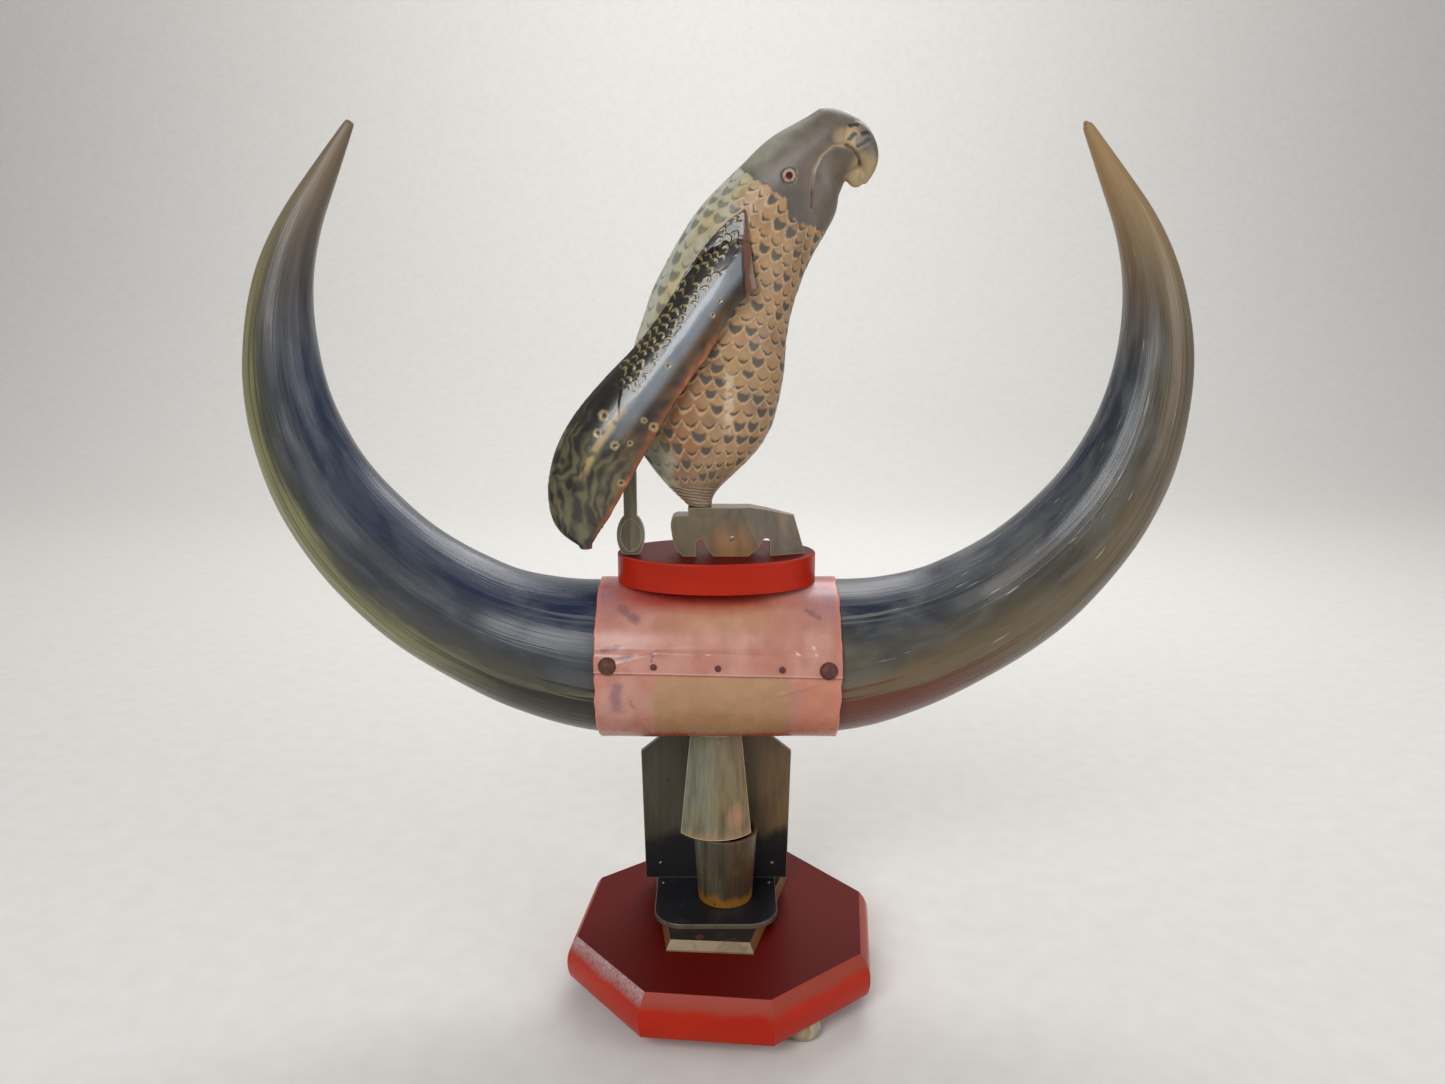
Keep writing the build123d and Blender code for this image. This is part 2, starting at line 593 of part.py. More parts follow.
def plinth_screws(slot: bool = False) -> list[Part]:
    """Screws under the perch, down through plinth and wrap into the drum."""
    form = screw(PLINTH_SCREW_RADIUS, PLINTH_SCREW_HEAD_RADIUS, PLINTH_SCREW_LENGTH)
    if slot:
        form = slotted(form, PLINTH_SCREW_HEAD_RADIUS)
    side = PLINTH_SCREW_SPACING / 2
    return [Pos(PLINTH_X + x, HEAD_Y, PLINTH_TOP) * form for x in (-side, side)]


def claw_pegs() -> list[Part]:
    """Pegs between plinth and perch, beside the perch's notches."""
    peg = Cylinder(CLAW_PEG_RADIUS, 2 * CLAW_PEG_DEPTH)
    return [Pos(PERCH_X + x, CLAW_Y + CLAW_PEG_SETBACK, PLINTH_TOP) * peg for x in CLAW_PEG_PLACES]


def plinth() -> Part:
    """Oval disc with rounded edges, grooved underneath to sit on the wrap."""
    disc = extrude(Ellipse(PLINTH_LENGTH / 2, PLINTH_DEPTH / 2), amount=PLINTH_THICKNESS)
    disc = fillet(disc.faces().sort_by(Axis.Z)[-1].edges(), PLINTH_EDGE_ROUND)
    disc = Pos(PLINTH_X, HEAD_Y, PLINTH_BOTTOM) * disc
    return less(disc, [wrap_space(), *plinth_screws(), *claw_pegs()])


def claw_plate() -> Part:
    """Horn slab on edge with two claw-shaped notches, a small hole and one side that turns away."""
    left = Spline((CLAW_FOOT[0], 0), CLAW_LEFT_LOBE, CLAW_LOBE_TOP, tangents=((-1, 1), (1, 0)))
    step = (CLAW_CROWN[0], CLAW_LOBE_TOP[1])
    crown = ((CLAW_CROWN[0], CLAW_HEIGHT), (CLAW_CROWN[1], CLAW_HEIGHT), CLAW_RIGHT_SHOULDER, CLAW_RIGHT_CORNER)
    rest = Polyline(left @ 1, step, *crown, (CLAW_FOOT[1], 0), left @ 0)
    outline = make_face([left, *rest.edges()])
    for upright, slant in CLAW_NOTCHES:
        width = copysign(CLAW_NOTCH_TOP_WIDTH, slant - upright)
        spring = CLAW_NOTCH_HEIGHT - CLAW_NOTCH_TOP_WIDTH / 2
        legs = Polyline((upright + width, spring), (slant, 0), (slant, -1), (upright, -1), (upright, spring))
        arch = ThreePointArc(legs @ 1, (upright + width / 2, CLAW_NOTCH_HEIGHT), legs @ 0)
        outline -= make_face([*legs.edges(), arch])
    outline -= Pos(CLAW_HOLE_X, CLAW_NOTCH_HEIGHT) * Circle(CLAW_HOLE_RADIUS)
    slab = extrude(Plane.XZ * outline, amount=CLAW_THICKNESS / 2, both=True)
    size = 4 * CLAW_HEIGHT
    turn = Pos(CLAW_TURN_X, -CLAW_THICKNESS / 2, 0) * Rot(0, -CLAW_TURN_LEAN, 0) * Rot(0, 0, CLAW_TURN)
    slab -= turn * Pos(size / 2, -size / 2, 0) * Box(size, size, size)
    slab = Pos(PERCH_X, CLAW_Y, PLINTH_TOP) * slab
    return less(slab, [leg_tenon(FIT), *claw_pegs()])


# Bird


def bird_place() -> Location:
    """Top of the perch under the bird's leg, in the bird's middle plane."""
    return Pos(PERCH_X, BIRD_Y, PERCH_TOP)


def bird_plane(forward: float, up: float, heading: float) -> Plane:
    """Section plane across a line that lies in the bird's middle plane."""
    turn = radians(heading)
    return Plane(origin=(forward, 0, up), x_dir=(sin(turn), 0, -cos(turn)), z_dir=(cos(turn), 0, sin(turn)))


def leg_tenon(gap: float = 0.0) -> Part:
    """Round tenon under the leg, with a gap for its socket."""
    return bird_place() * bore(LEG_TENON_RADIUS + gap, LEG_TENON_LENGTH + gap)


@cache
def bird_form() -> Part:
    """Leg, body, head and hooked beak before anything is let into them."""
    ovals = [bird_plane(*place) * Ellipse(depth, width) for *place, depth, width in BIRD_SECTIONS]
    return bird_place() * loft(ovals) + leg_tenon()


def bird_body() -> Part:
    """The carved bird with its eye sockets and the seats of wings and tail prop."""
    seats = [wing_near(), wing_far(), tail_prop()]
    sockets = [place * Cylinder(EYE_RADIUS, 2 * EYE_DEPTH) for place in eye_places()]
    return less(bird_form(), [*seats, *sockets])


def eye_places() -> list[Location]:
    """Points on both sides of the head, with Z pointing out of it."""
    forward, up = EYE_PLACE
    across = Axis((PERCH_X + forward, BIRD_Y, PERCH_TOP + up), (0, 1, 0))
    skin = sorted(point.Y for point, _ in bird_form().find_intersection_points(across))
    middle = across.position
    near = Plane(origin=(middle.X, skin[0], middle.Z), x_dir=(1, 0, 0), z_dir=(0, -1, 0))
    far = Plane(origin=(middle.X, skin[-1], middle.Z), x_dir=(1, 0, 0), z_dir=(0, 1, 0))
    return [near.location, far.location]


def eye_disc(radius: float) -> Part:
    """Disc of an inlaid eye, from the floor of its socket to just proud of the head."""
    height = EYE_DEPTH + EYE_PROUD
    return Pos(0, 0, EYE_PROUD - height / 2) * Cylinder(radius, height)


def eye_rings() -> list[Part]:
    return [place * (eye_disc(EYE_RADIUS) - eye_disc(PUPIL_RADIUS)) for place in eye_places()]


def eye_pupils() -> list[Part]:
    return [place * eye_disc(PUPIL_RADIUS) for place in eye_places()]


def plate_section(half_width: float, rise: float) -> Sketch:
    """Section of a curved plate that bulges to -Y, with its outer corners on the X axis."""
    radius = (half_width**2 + rise**2) / (2 * rise)
    inner = 1 - WING_WALL / radius
    side = (half_width * inner, (radius - rise) * (1 - inner))
    outside = ThreePointArc((-half_width, 0), (0, -rise), (half_width, 0))
    inside = ThreePointArc(side, (0, WING_WALL - rise), (-side[0], side[1]))
    return make_face([outside, Line(outside @ 1, inside @ 0), inside, Line(inside @ 1, outside @ 0)])


def wing_plate() -> Part:
    """Near wing in the bird's own frame: a curved horn plate with a rounded tip."""
    sections = []
    for forward, up, heading, half_width, rise, out in WING_SECTIONS:
        place = bird_plane(forward, up, heading) * Pos(0, -out, 0) * Rot(0, 0, WING_ROLL)
        sections.append(place * plate_section(half_width, rise))
    return loft(sections)


def wing_near() -> Part:
    return bird_place() * wing_plate()


def wing_far() -> Part:
    return bird_place() * mirror(wing_plate(), about=Plane.XZ)


def tail_prop() -> Part:
    """Spoon-shaped horn tongue that stands on the plinth and props the rump."""
    middle = PROP_BOWL_HEIGHT / 2 - PROP_SOLE
    top = CLAW_HEIGHT + PROP_TOP
    bowl = Pos(0, middle) * Ellipse(PROP_BOWL_WIDTH / 2, PROP_BOWL_HEIGHT / 2)
    neck = Pos(0, (middle + top) / 2) * Rectangle(PROP_NECK_WIDTH, top - middle)
    outline = (bowl + neck) - Pos(0, -PROP_SOLE) * Rectangle(PROP_BOWL_WIDTH, 2 * PROP_SOLE)
    tongue = extrude(Plane.XZ * outline, amount=PROP_THICKNESS / 2, both=True)
    dish = scale(Sphere(1.0), by=(0.36 * PROP_BOWL_WIDTH, PROP_DISH, 0.36 * PROP_BOWL_HEIGHT))
    tongue -= Pos(0, -PROP_THICKNESS / 2, middle) * dish
    return Pos(PERCH_X + PROP_X, BIRD_Y, PLINTH_TOP) * tongue


NODES = {
    "base_board": [base_board()],
    "base_feet": base_feet(),
    "foot_screws": foot_screw_forms(slot=True),
    "foot_plate": [foot_plate()],
    "foot_plate_screw": [foot_plate_screw(slot=True)],
    "shelf_plate": [shelf_plate()],
    "shelf_pins": shelf_pins(),
    "post": [post()],
    "post_screw": [post_screw(slot=True)],
    "cup": [cup()],
    "skirt_plate": [skirt_plate()],
    "back_plate": [back_plate()],
    "back_plate_pins": back_plate_pins(),
    "back_rail": [back_rail()],
    "rail_screws": rail_screws(slot=True),
    "head_core": [head_core()],
    "horn_left": [horn_left()],
    "horn_right": [horn_right()],
    "wrap_sheet": [wrap_sheet()],
    "seam_tacks": seam_tacks(),
    "seam_nails": seam_nails(),
    "plinth": [plinth()],
    "plinth_screws": plinth_screws(slot=True),
    "claw_plate": [claw_plate()],
    "claw_pegs": claw_pegs(),
    "bird_body": [bird_body()],
    "eye_rings": eye_rings(),
    "eye_pupils": eye_pupils(),
    "wing_near": [wing_near()],
    "wing_far": [wing_far()],
    "tail_prop": [tail_prop()],
}

os.makedirs("parts", exist_ok=True)
for name, pieces in NODES.items():
    solids = [solid for piece in pieces for solid in piece.solids()]
    node = solids[0] if len(solids) == 1 else Compound(children=solids)
    export_step(node, f"parts/{name}.step")
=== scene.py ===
"""Looks of a horn ornament: a pair of cattle horns, a carved horn bird and a pedestal of horn plates.

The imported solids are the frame. Each class dresses one sub-assembly: it keeps the solids whose shape is
right and gives them a finish, and it models the others anew with their wear, carving and creases.
Lengths are metres, and names that end in _mm hold millimetres.
"""

from __future__ import annotations

import logging
from dataclasses import dataclass
from enum import Enum
from functools import cache
from math import atan2, copysign, cos, exp, floor, hypot, inf, pi, radians, sin, sqrt
from typing import Any, Callable

import bmesh
import bpy
from mathutils import Matrix, Vector, noise
from mathutils.bvhtree import BVHTree
from mathutils.kdtree import KDTree

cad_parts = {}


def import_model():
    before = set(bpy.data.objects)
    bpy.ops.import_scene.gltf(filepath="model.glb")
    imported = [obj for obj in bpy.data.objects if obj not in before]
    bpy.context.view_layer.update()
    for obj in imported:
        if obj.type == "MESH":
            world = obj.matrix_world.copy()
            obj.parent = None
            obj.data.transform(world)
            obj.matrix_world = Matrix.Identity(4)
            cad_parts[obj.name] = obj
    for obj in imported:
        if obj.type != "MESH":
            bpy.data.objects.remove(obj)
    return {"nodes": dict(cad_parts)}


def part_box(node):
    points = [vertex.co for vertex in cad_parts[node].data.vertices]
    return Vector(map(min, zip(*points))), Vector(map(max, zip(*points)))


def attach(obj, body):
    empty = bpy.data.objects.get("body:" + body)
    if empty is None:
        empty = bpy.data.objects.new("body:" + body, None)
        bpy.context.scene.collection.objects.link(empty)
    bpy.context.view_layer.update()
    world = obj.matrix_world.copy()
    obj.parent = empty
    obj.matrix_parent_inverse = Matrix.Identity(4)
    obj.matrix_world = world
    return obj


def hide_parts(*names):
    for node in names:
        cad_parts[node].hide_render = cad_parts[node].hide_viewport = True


LOG = logging.getLogger("ornament")
MM = 0.001
Body = bmesh.types.BMesh
Material = bpy.types.Material
Piece = bpy.types.Object
Socket = bpy.types.NodeSocket
Point = tuple[float, float]
Line = tuple[Point, ...]
Triple = tuple[float, float, float]
Paint = Triple | str
Inputs = dict[str | int, Any] | tuple[Any, ...]
Mark = Callable[[Vector], tuple[float, Triple]]

# Sockets of a colour mix
FACTOR, BELOW, ABOVE, MIXED = 0, 6, 7, 2


@cache
def linear(code: str) -> tuple[float, float, float, float]:
    """Linear colour, with alpha, of an sRGB hex code.

    Args:
        code: the hex code, with its hash.

    Returns:
        Red, green, blue and alpha from 0 to 1.
    """
    channels = [int(code[place : place + 2], 16) / 255 for place in (1, 3, 5)]
    straight = [value / 12.92 if value <= 0.04045 else ((value + 0.055) / 1.055) ** 2.4 for value in channels]
    return (straight[0], straight[1], straight[2], 1.0)


def ramp(value: float, low: float, high: float) -> float:
    """Smooth step of a value from 0 at low to 1 at high, where high may also be the smaller one."""
    share = min(1.0, max(0.0, (value - low) / (high - low)))
    return share * share * (3 - 2 * share)


def shade(paint: Paint) -> Triple:
    """Linear colour of a paint, given as that or as a hex code."""
    return linear(paint)[:3] if isinstance(paint, str) else paint


def mixed(below: Paint, above: Paint, share: float) -> Triple:
    """Colour between two paints."""
    return tuple(a + (b - a) * share for a, b in zip(shade(below), shade(above)))


def laid(colour: Paint, *coats: tuple[Paint, float]) -> Triple:
    """Colour after several coats, each with its cover.

    Args:
        colour: the lowest colour.
        coats: paints with their covers from 0 to 1, lowest first.

    Returns:
        The colour that shows.
    """
    for above, cover in coats:
        colour = mixed(colour, above, cover)
    return colour


def rough(place: Vector, size_mm: float, seed: float = 0.0) -> float:
    """Smooth noise from -1 to 1 with blotches of about the size given."""
    return noise.noise(place / (size_mm * MM) + Vector((seed, -seed, 2 * seed)))


class Recipe:
    """Node tree of one material while it is put together."""

    def __init__(self, name: str) -> None:
        """Starts an empty material with its shader.

        Args:
            name: the material's name.
        """
        self.material = bpy.data.materials.new(name)
        self.material.use_nodes = True
        self.tree = self.material.node_tree
        self.shader = next(node for node in self.tree.nodes if node.type == "BSDF_PRINCIPLED")

    def add(self, kind: str, inputs: Inputs | None = None, out: str | int = 0, **settings: Any) -> Socket:
        """Adds a node with its settings and links.

        Args:
            kind: the node's type without its ShaderNode prefix.
            inputs: value, hex colour or linked socket of each input.
            out: the output that is wanted.
            settings: the node's own properties, and stops for a colour ramp.

        Returns:
            The node's output socket.
        """
        node = self.tree.nodes.new("ShaderNode" + kind)
        for name, value in settings.items():
            if name == "stops":
                for place, _ in value[2:]:
                    node.color_ramp.elements.new(place)
                for element, (place, colour) in zip(node.color_ramp.elements, value):
                    element.position = place
                    element.color = linear(colour)
            else:
                setattr(node, name, value)
        self._fill(node, inputs or {})
        return node.outputs[out]

    def cloud(
        self, place: Socket, scale: Triple, low: float, high: float, detail: float = 5.0, bend: float = 0.0
    ) -> Socket:
        """Noise stretched by a scale along each axis, spread out to run from 0 at low to 1 at high.

        Args:
            place: where the noise is read.
            scale: blotches per unit along each axis.
            low: noise that counts as 0.
            high: noise that counts as 1.
            detail: octaves of finer noise.
            bend: distortion of the blotches.

        Returns:
            A share from 0 to 1.
        """
        spread = self.add("Mapping", {"Vector": place, "Scale": scale})
        value = self.add("TexNoise", {"Vector": spread, "Scale": 1.0, "Detail": detail, "Distortion": bend})
        return self.add("MapRange", (value, low, high))

    def stack(self, colour: Socket | str, *layers: tuple[Any, ...]) -> Socket:
        """Lays further colours over one, each given with the masks whose product is its cover.

        Args:
            colour: the lowest colour.
            layers: a colour and the masks whose product is its cover, for each layer.

        Returns:
            The colour that shows.
        """
        for above, cover, *masks in layers:
            for mask in masks:
                cover = self.add("Math", (cover, mask), operation="MULTIPLY")
            coat = {FACTOR: cover, BELOW: colour, ABOVE: above}
            colour = self.add("Mix", coat, out=MIXED, data_type="RGBA")
        return colour

    def finish(self, inputs: Inputs, relief: tuple[Socket, float, float] | None = None) -> Material:
        """Fills the shader's inputs, with relief as a height, its depth in metres and its strength.

        Args:
            inputs: value, hex colour or linked socket of each shader input.
            relief: height socket, depth in metres and strength of the bump.

        Returns:
            The material.
        """
        if relief:
            raised = dict(zip(("Height", "Distance", "Strength"), relief))
            inputs = {**inputs, "Normal": self.add("Bump", raised, out="Normal")}
        self._fill(self.shader, inputs)
        return self.material

    def _fill(self, node: bpy.types.Node, inputs: Inputs) -> None:
        """Sets or links each input named.

        Args:
            node: the node to fill.
            inputs: values by socket name or number, or those of its first sockets in order.
        """
        for key, value in inputs.items() if isinstance(inputs, dict) else enumerate(inputs):
            socket = node.inputs[key]
            if isinstance(value, Socket):
                self.tree.links.new(value, socket)
            else:
                socket.default_value = linear(value) if isinstance(value, str) else value


# Finishes


@dataclass(frozen=True)
class Lacquer:
    """Red oil enamel brushed over planed wood: a clear gloss, rubbed dull on its shoulder, with painted shade
    on its level faces and a painted highlight on its shoulder.
    """

    name: str = "red_enamel_on_wood"
    face: str = "#B5260A"
    dim: str = "#8E1606"
    level_shade: str = "#5A0A05"
    shoulder_highlight: str = "#953F30"
    streaked_highlight: str = "#B9A9AB"
    highlight_cover: float = 0.85

    def build(self) -> Material:
        """Builds the enamel with painted shade on its level faces, a painted highlight on its duller shoulder
        and white painted highlight streaks on the left.

        Returns:
            The material.
        """
        recipe = Recipe(self.name)
        add = recipe.add
        place = add("TexCoord", out="Object")
        normal = add("NewGeometry", out="Normal")
        aside, ahead, tilt = (add("SeparateXYZ", (normal,), out=axis) for axis in "XYZ")
        brush = recipe.cloud(place, (18.0, 18.0, 60.0), 0.3, 0.75)
        fine = recipe.cloud(place, (700.0, 700.0, 700.0), 0.3, 0.7, 4.0)
        ragged = recipe.cloud(place, (60.0, 60.0, 120.0), 0.3, 0.7, 8.0)
        level = add("MapRange", (tilt, 0.86, 0.99))
        edge = add("Math", (ragged, 0.08, tilt), operation="MULTIPLY_ADD")
        edge = add("Math", (fine, 0.05, edge), operation="MULTIPLY_ADD")
        rise = add("MapRange", (edge, 0.32, 0.50), interpolation_type="SMOOTHSTEP")
        fall = add("MapRange", (tilt, 0.92, 0.80, 0.0, self.highlight_cover))
        left = add("MapRange", (aside, -0.25, -0.35))
        front = add("MapRange", (ahead, -0.15, -0.30))
        strokes = recipe.cloud(place, (900.0, 900.0, 260.0), 0.25, 0.62, 6.0)
        white = add("MapRange", (edge, 0.36, 0.66))
        colour = recipe.stack(
            self.face,
            (self.dim, brush, 0.6),
            # Painted shade darkens the level faces; then a painted highlight lies on the shoulder, with white
            # painted highlight streaks at its left front
            (self.level_shade, level),
            (self.shoulder_highlight, rise, fall),
            (self.streaked_highlight, white, left, front, strokes, fall),
        )
        dull = add("MapRange", (rise, 0.0, 1.0, 0.30, 0.48))
        sheen = add("MapRange", (level, 0.0, 1.0, 0.20, 0.08))
        ripple = add("TexNoise", {"Vector": place, "Scale": 110.0, "Detail": 3.0})
        inputs = {"Base Color": colour, "Roughness": dull, "IOR": 1.5, "Specular IOR Level": sheen}
        return recipe.finish(inputs, (ripple, 0.0004, 0.25))


@dataclass(frozen=True)
class HornSkin:
    """Cattle horn scraped, sanded and waxed: smoky keratin, with fibres that show on its outer side.

    The fibres are drawn a little coarser than real ones, so that they show.
    """

    name: str
    bands: tuple[tuple[float, str], ...]
    fibre: str
    wisp: str
    glow: str
    tip: str
    root: str
    glowing: float
    scratched: float

    def build(self) -> Material:
        """Builds the horn from its grain attribute: across, front and run from the root.

        Returns:
            The material.
        """
        recipe = Recipe(self.name)
        add = recipe.add
        grain = add("Attribute", out="Vector", attribute_name="grain")
        across = add("SeparateXYZ", (grain,), out="X")
        run = add("SeparateXYZ", (grain,), out="Z")
        broad = recipe.cloud(grain, (0.9, 0.9, 13.0), 0.25, 0.75, 4.0, 0.6)
        drift = recipe.cloud(grain, (2.6, 2.6, 14.0), 0.25, 0.75, 6.0, 0.4)
        edge = add("Math", (broad, 0.4, across), operation="MULTIPLY_ADD")
        edge = add("Math", (drift, 0.4, edge), operation="MULTIPLY_ADD")
        edge = add("MapRange", (edge, -0.60, 1.40))
        # The bands' first, blue stop, on the inner side, is a painted reflection
        colour = add("ValToRGB", {"Fac": edge}, stops=self.bands)
        outer = add("MapRange", (edge, 0.52, 0.70))
        inner = add("MapRange", (edge, 0.80, 0.45))
        middle = add("MapRange", (across, 0.55, 0.1))
        wisps = recipe.cloud(grain, (2.8, 2.8, 26.0), 0.42, 0.82, 9.0, 0.5)
        shadows = recipe.cloud(grain, (1.7, 1.7, 15.0), 0.48, 0.80, 6.0, 0.3)
        warm = recipe.cloud(grain, (1.6, 1.6, 12.0), 0.44, 0.66, 6.0, 0.3)
        fibres = recipe.cloud(grain, (15.0, 15.0, 8.0), 0.46, 0.60, 5.0, 0.2)
        inner_highlight_threads = recipe.cloud(grain, (26.0, 26.0, 9.0), 0.50, 0.62, 4.0, 0.2)
        scratches = recipe.cloud(grain, (24.0, 24.0, 30.0), 0.68, 0.72, 6.0, 0.3)
        ridge = add("MapRange", (across, -0.88, -0.74))
        crest = add("MapRange", (across, -0.55, -0.68))
        end = add("MapRange", (run, 0.30, 0.452), interpolation_type="SMOOTHSTEP")
        near = add("MapRange", (run, 0.150, 0.090))
        low = add("Math", (fibres, 0.16, edge), operation="MULTIPLY_ADD")
        low = add("MapRange", (low, 0.70, 0.78, 0.0, 0.92))
        colour = recipe.stack(
            colour,
            ("#191B1E", shadows, 0.5),
            (self.wisp, wisps, inner, 0.75),
            (self.glow, warm, middle, outer, self.glowing),
            (self.fibre, fibres, outer, 0.6),
            # Painted highlight: pale threads just inside the inner edge, towards the root
            (self.wisp, inner_highlight_threads, ridge, crest, near, 0.8),
            (self.root, near, low),
            (self.tip, end),
            ("#A9A79C", scratches, middle, self.scratched),
        )
        gloss = add("MapRange", (drift, 0.0, 1.0, 0.24, 0.38))
        return recipe.finish({"Base Color": colour, "Roughness": gloss, "IOR": 1.5}, (fibres, 0.0003, 0.25))


@dataclass(frozen=True)
class Painted:
    """Surface whose colour is worked out point by point, kept in the paint attribute."""

    name: str
    roughness: float
    grain_mm: float = 1.6
    grain_depth: float = 0.18
    relief_mm: float = 0.12
    coat: float = 0.0

    def build(self) -> Material:
        """Builds the finish with a fine grain over its paint.

        Returns:
            The material.
        """
        recipe = Recipe(self.name)
        add = recipe.add
        paint = add("Attribute", out="Color", attribute_name="paint")
        place = add("TexCoord", out="Object")
        # The noise starts four grains wide, and its finer octaves come down to the grain
        coarse = 4 * self.grain_mm * MM
        grain = add("TexNoise", {"Vector": place, "Scale": 1 / coarse, "Detail": 6.0})
        light = add("MapRange", (grain, 0.3, 0.7, 1 - self.grain_depth, 1 + self.grain_depth))
        colour = add("VectorMath", {0: paint, "Scale": light}, operation="SCALE")
        gloss = add("MapRange", (grain, 0.0, 1.0, self.roughness - 0.07, self.roughness + 0.12))
        inputs = {"Base Color": colour, "Roughness": gloss, "IOR": 1.55, "Coat Weight": self.coat}
        return recipe.finish(inputs, (grain, self.relief_mm * MM, 0.5))


@dataclass(frozen=True)
class HornPlate:
    """Flattened and scraped horn: soft cloudy bands along one direction, with its foot darker."""

    name: str
    left: str
    right: str
    cloud: str
    foot: str
    foot_level: float
    foot_blur: float
    centre: float
    span: float
    stretch: Triple = (70.0, 70.0, 12.0)
    # Colour of a painted highlight along the plate's edges
    rim: str = "#8B8468"
    edge_highlight_share: float = 0.0
    patch: str = "#2A2118"
    patch_cover: float = 0.0
    spot: str = "#A8713F"
    spot_place: Triple = (0.0, 0.0, -1.0)
    spot_reach: float = 0.01

    def build(self) -> Material:
        """Builds the plate: a blend across, clouds, streaks, knots, a warm spot, a foot of another colour and
        a painted highlight along its edges.

        Returns:
            The material.
        """
        recipe = Recipe(self.name)
        add = recipe.add
        place = add("TexCoord", out="Object")
        across = add("SeparateXYZ", (place,), out="X")
        height = add("SeparateXYZ", (place,), out="Z")
        cloud = recipe.cloud(place, self.stretch, 0.2, 0.8, 6.0, 0.8)
        fine = tuple(more * size for more, size in zip((5, 5, 1.4), self.stretch))
        streaks = recipe.cloud(place, fine, 0.45, 0.75, 4.0)
        low, high = self.centre - self.span / 2, self.centre + self.span / 2
        blend = add("Math", (cloud, 0.5 * self.span, across), operation="MULTIPLY_ADD")
        blend = add("MapRange", (blend, low + 0.25 * self.span, high + 0.25 * self.span))
        veil = add("MapRange", (cloud, 0.42, 0.85))
        wave = add("Math", (cloud, self.foot_blur, height), operation="MULTIPLY_ADD")
        reach = (self.foot_level + self.foot_blur, self.foot_level + 0.4 * self.foot_blur)
        foot = add("MapRange", (wave, *reach), interpolation_type="SMOOTHSTEP")
        blots = recipe.cloud(place, (45.0, 45.0, 30.0), 0.52, 0.66, 3.0)
        apart = add("VectorMath", (place, self.spot_place), operation="DISTANCE", out="Value")
        apart = add("Math", (cloud, 0.9 * self.spot_reach, apart), operation="MULTIPLY_ADD")
        glow = add("MapRange", (apart, 1.6 * self.spot_reach, 0.7 * self.spot_reach))
        knots = add("TexVoronoi", {"Vector": place, "Scale": 75.0}, out="Distance")
        knots = add("MapRange", (knots, 0.10, 0.05, 0.0, 0.8))
        # Painted highlight along the plate's edges, found where the bevel node rounds the normal
        edge = add("Bevel", {"Radius": 0.0009}, samples=4)
        normal = add("NewGeometry", out="Normal")
        edge = add("VectorMath", (edge, normal), operation="DOT_PRODUCT", out="Value")
        edge = add("MapRange", (edge, 0.985, 0.9, 0.0, self.edge_highlight_share))
        colour = recipe.stack(
            self.left,
            (self.right, blend),
            (self.cloud, veil),
            (self.patch, blots, self.patch_cover),
            (self.foot, foot),
            (self.spot, glow, 0.75),
            ("#211A14", streaks, 0.35),
            ("#2A2118", knots),
            (self.rim, edge),
        )
        gloss = add("MapRange", (cloud, 0.0, 1.0, 0.30, 0.46))
        return recipe.finish({"Base Color": colour, "Roughness": gloss, "IOR": 1.5}, (streaks, 0.0002, 0.3))


@dataclass(frozen=True)
class TurnedFaces:
    """Horn slab with one colour on its level faces, one on its front and one on its sides."""

    name: str
    level: str
    front: str
    side: str
    speck: str
    roughness: float = 0.36

    def build(self) -> Material:
        """Builds the slab's colours from the way that each face looks.

        Returns:
            The material.
        """
        recipe = Recipe(self.name)
        add = recipe.add
        place = add("TexCoord", out="Object")
        normal = add("NewGeometry", out="Normal")
        tilt = add("SeparateXYZ", (normal,), out="Z")
        ahead = add("SeparateXYZ", (normal,), out="Y")
        cloud = recipe.cloud(place, (75.0, 75.0, 75.0), 0.25, 0.75, 6.0, 0.6)
        facing = add("MapRange", (ahead, -0.45, -0.7))
        ragged = add("Math", (cloud, 0.3, tilt), operation="MULTIPLY_ADD")
        upper = add("MapRange", (ragged, 0.95, 1.05))
        specks = add("MapRange", (cloud, 0.6, 0.9))
        colour = recipe.stack(self.side, (self.front, facing), (self.level, upper), (self.speck, specks, 0.7))
        fine = add("TexNoise", {"Vector": place, "Scale": 420.0, "Detail": 3.0})
        gloss = add("MapRange", (fine, 0.0, 1.0, self.roughness - 0.08, self.roughness + 0.1))
        return recipe.finish({"Base Color": colour, "Roughness": gloss, "IOR": 1.5}, (fine, 0.0002, 0.3))


@dataclass(frozen=True)
class Blotched:
    """Small hard piece, such as a tack, a screw or an inlay, with two blotched shades."""

    name: str
    colour: str
    worn: str
    roughness: float
    metallic: float = 0.0

    def build(self) -> Material:
        """Builds the piece with blotches of wear and fine pits.

        Returns:
            The material.
        """
        recipe = Recipe(self.name)
        add = recipe.add
        place = add("TexCoord", out="Object")
        blotch = add("TexNoise", {"Vector": place, "Scale": 420.0, "Detail": 5.0})
        share = add("MapRange", (blotch, 0.45, 0.7))
        colour = recipe.stack(self.colour, (self.worn, share))
        gloss = add("MapRange", (blotch, 0.0, 1.0, self.roughness, self.roughness + 0.2))
        inputs = {"Base Color": colour, "Metallic": self.metallic, "Roughness": gloss}
        return recipe.finish(inputs, (blotch, 0.0002, 0.4))


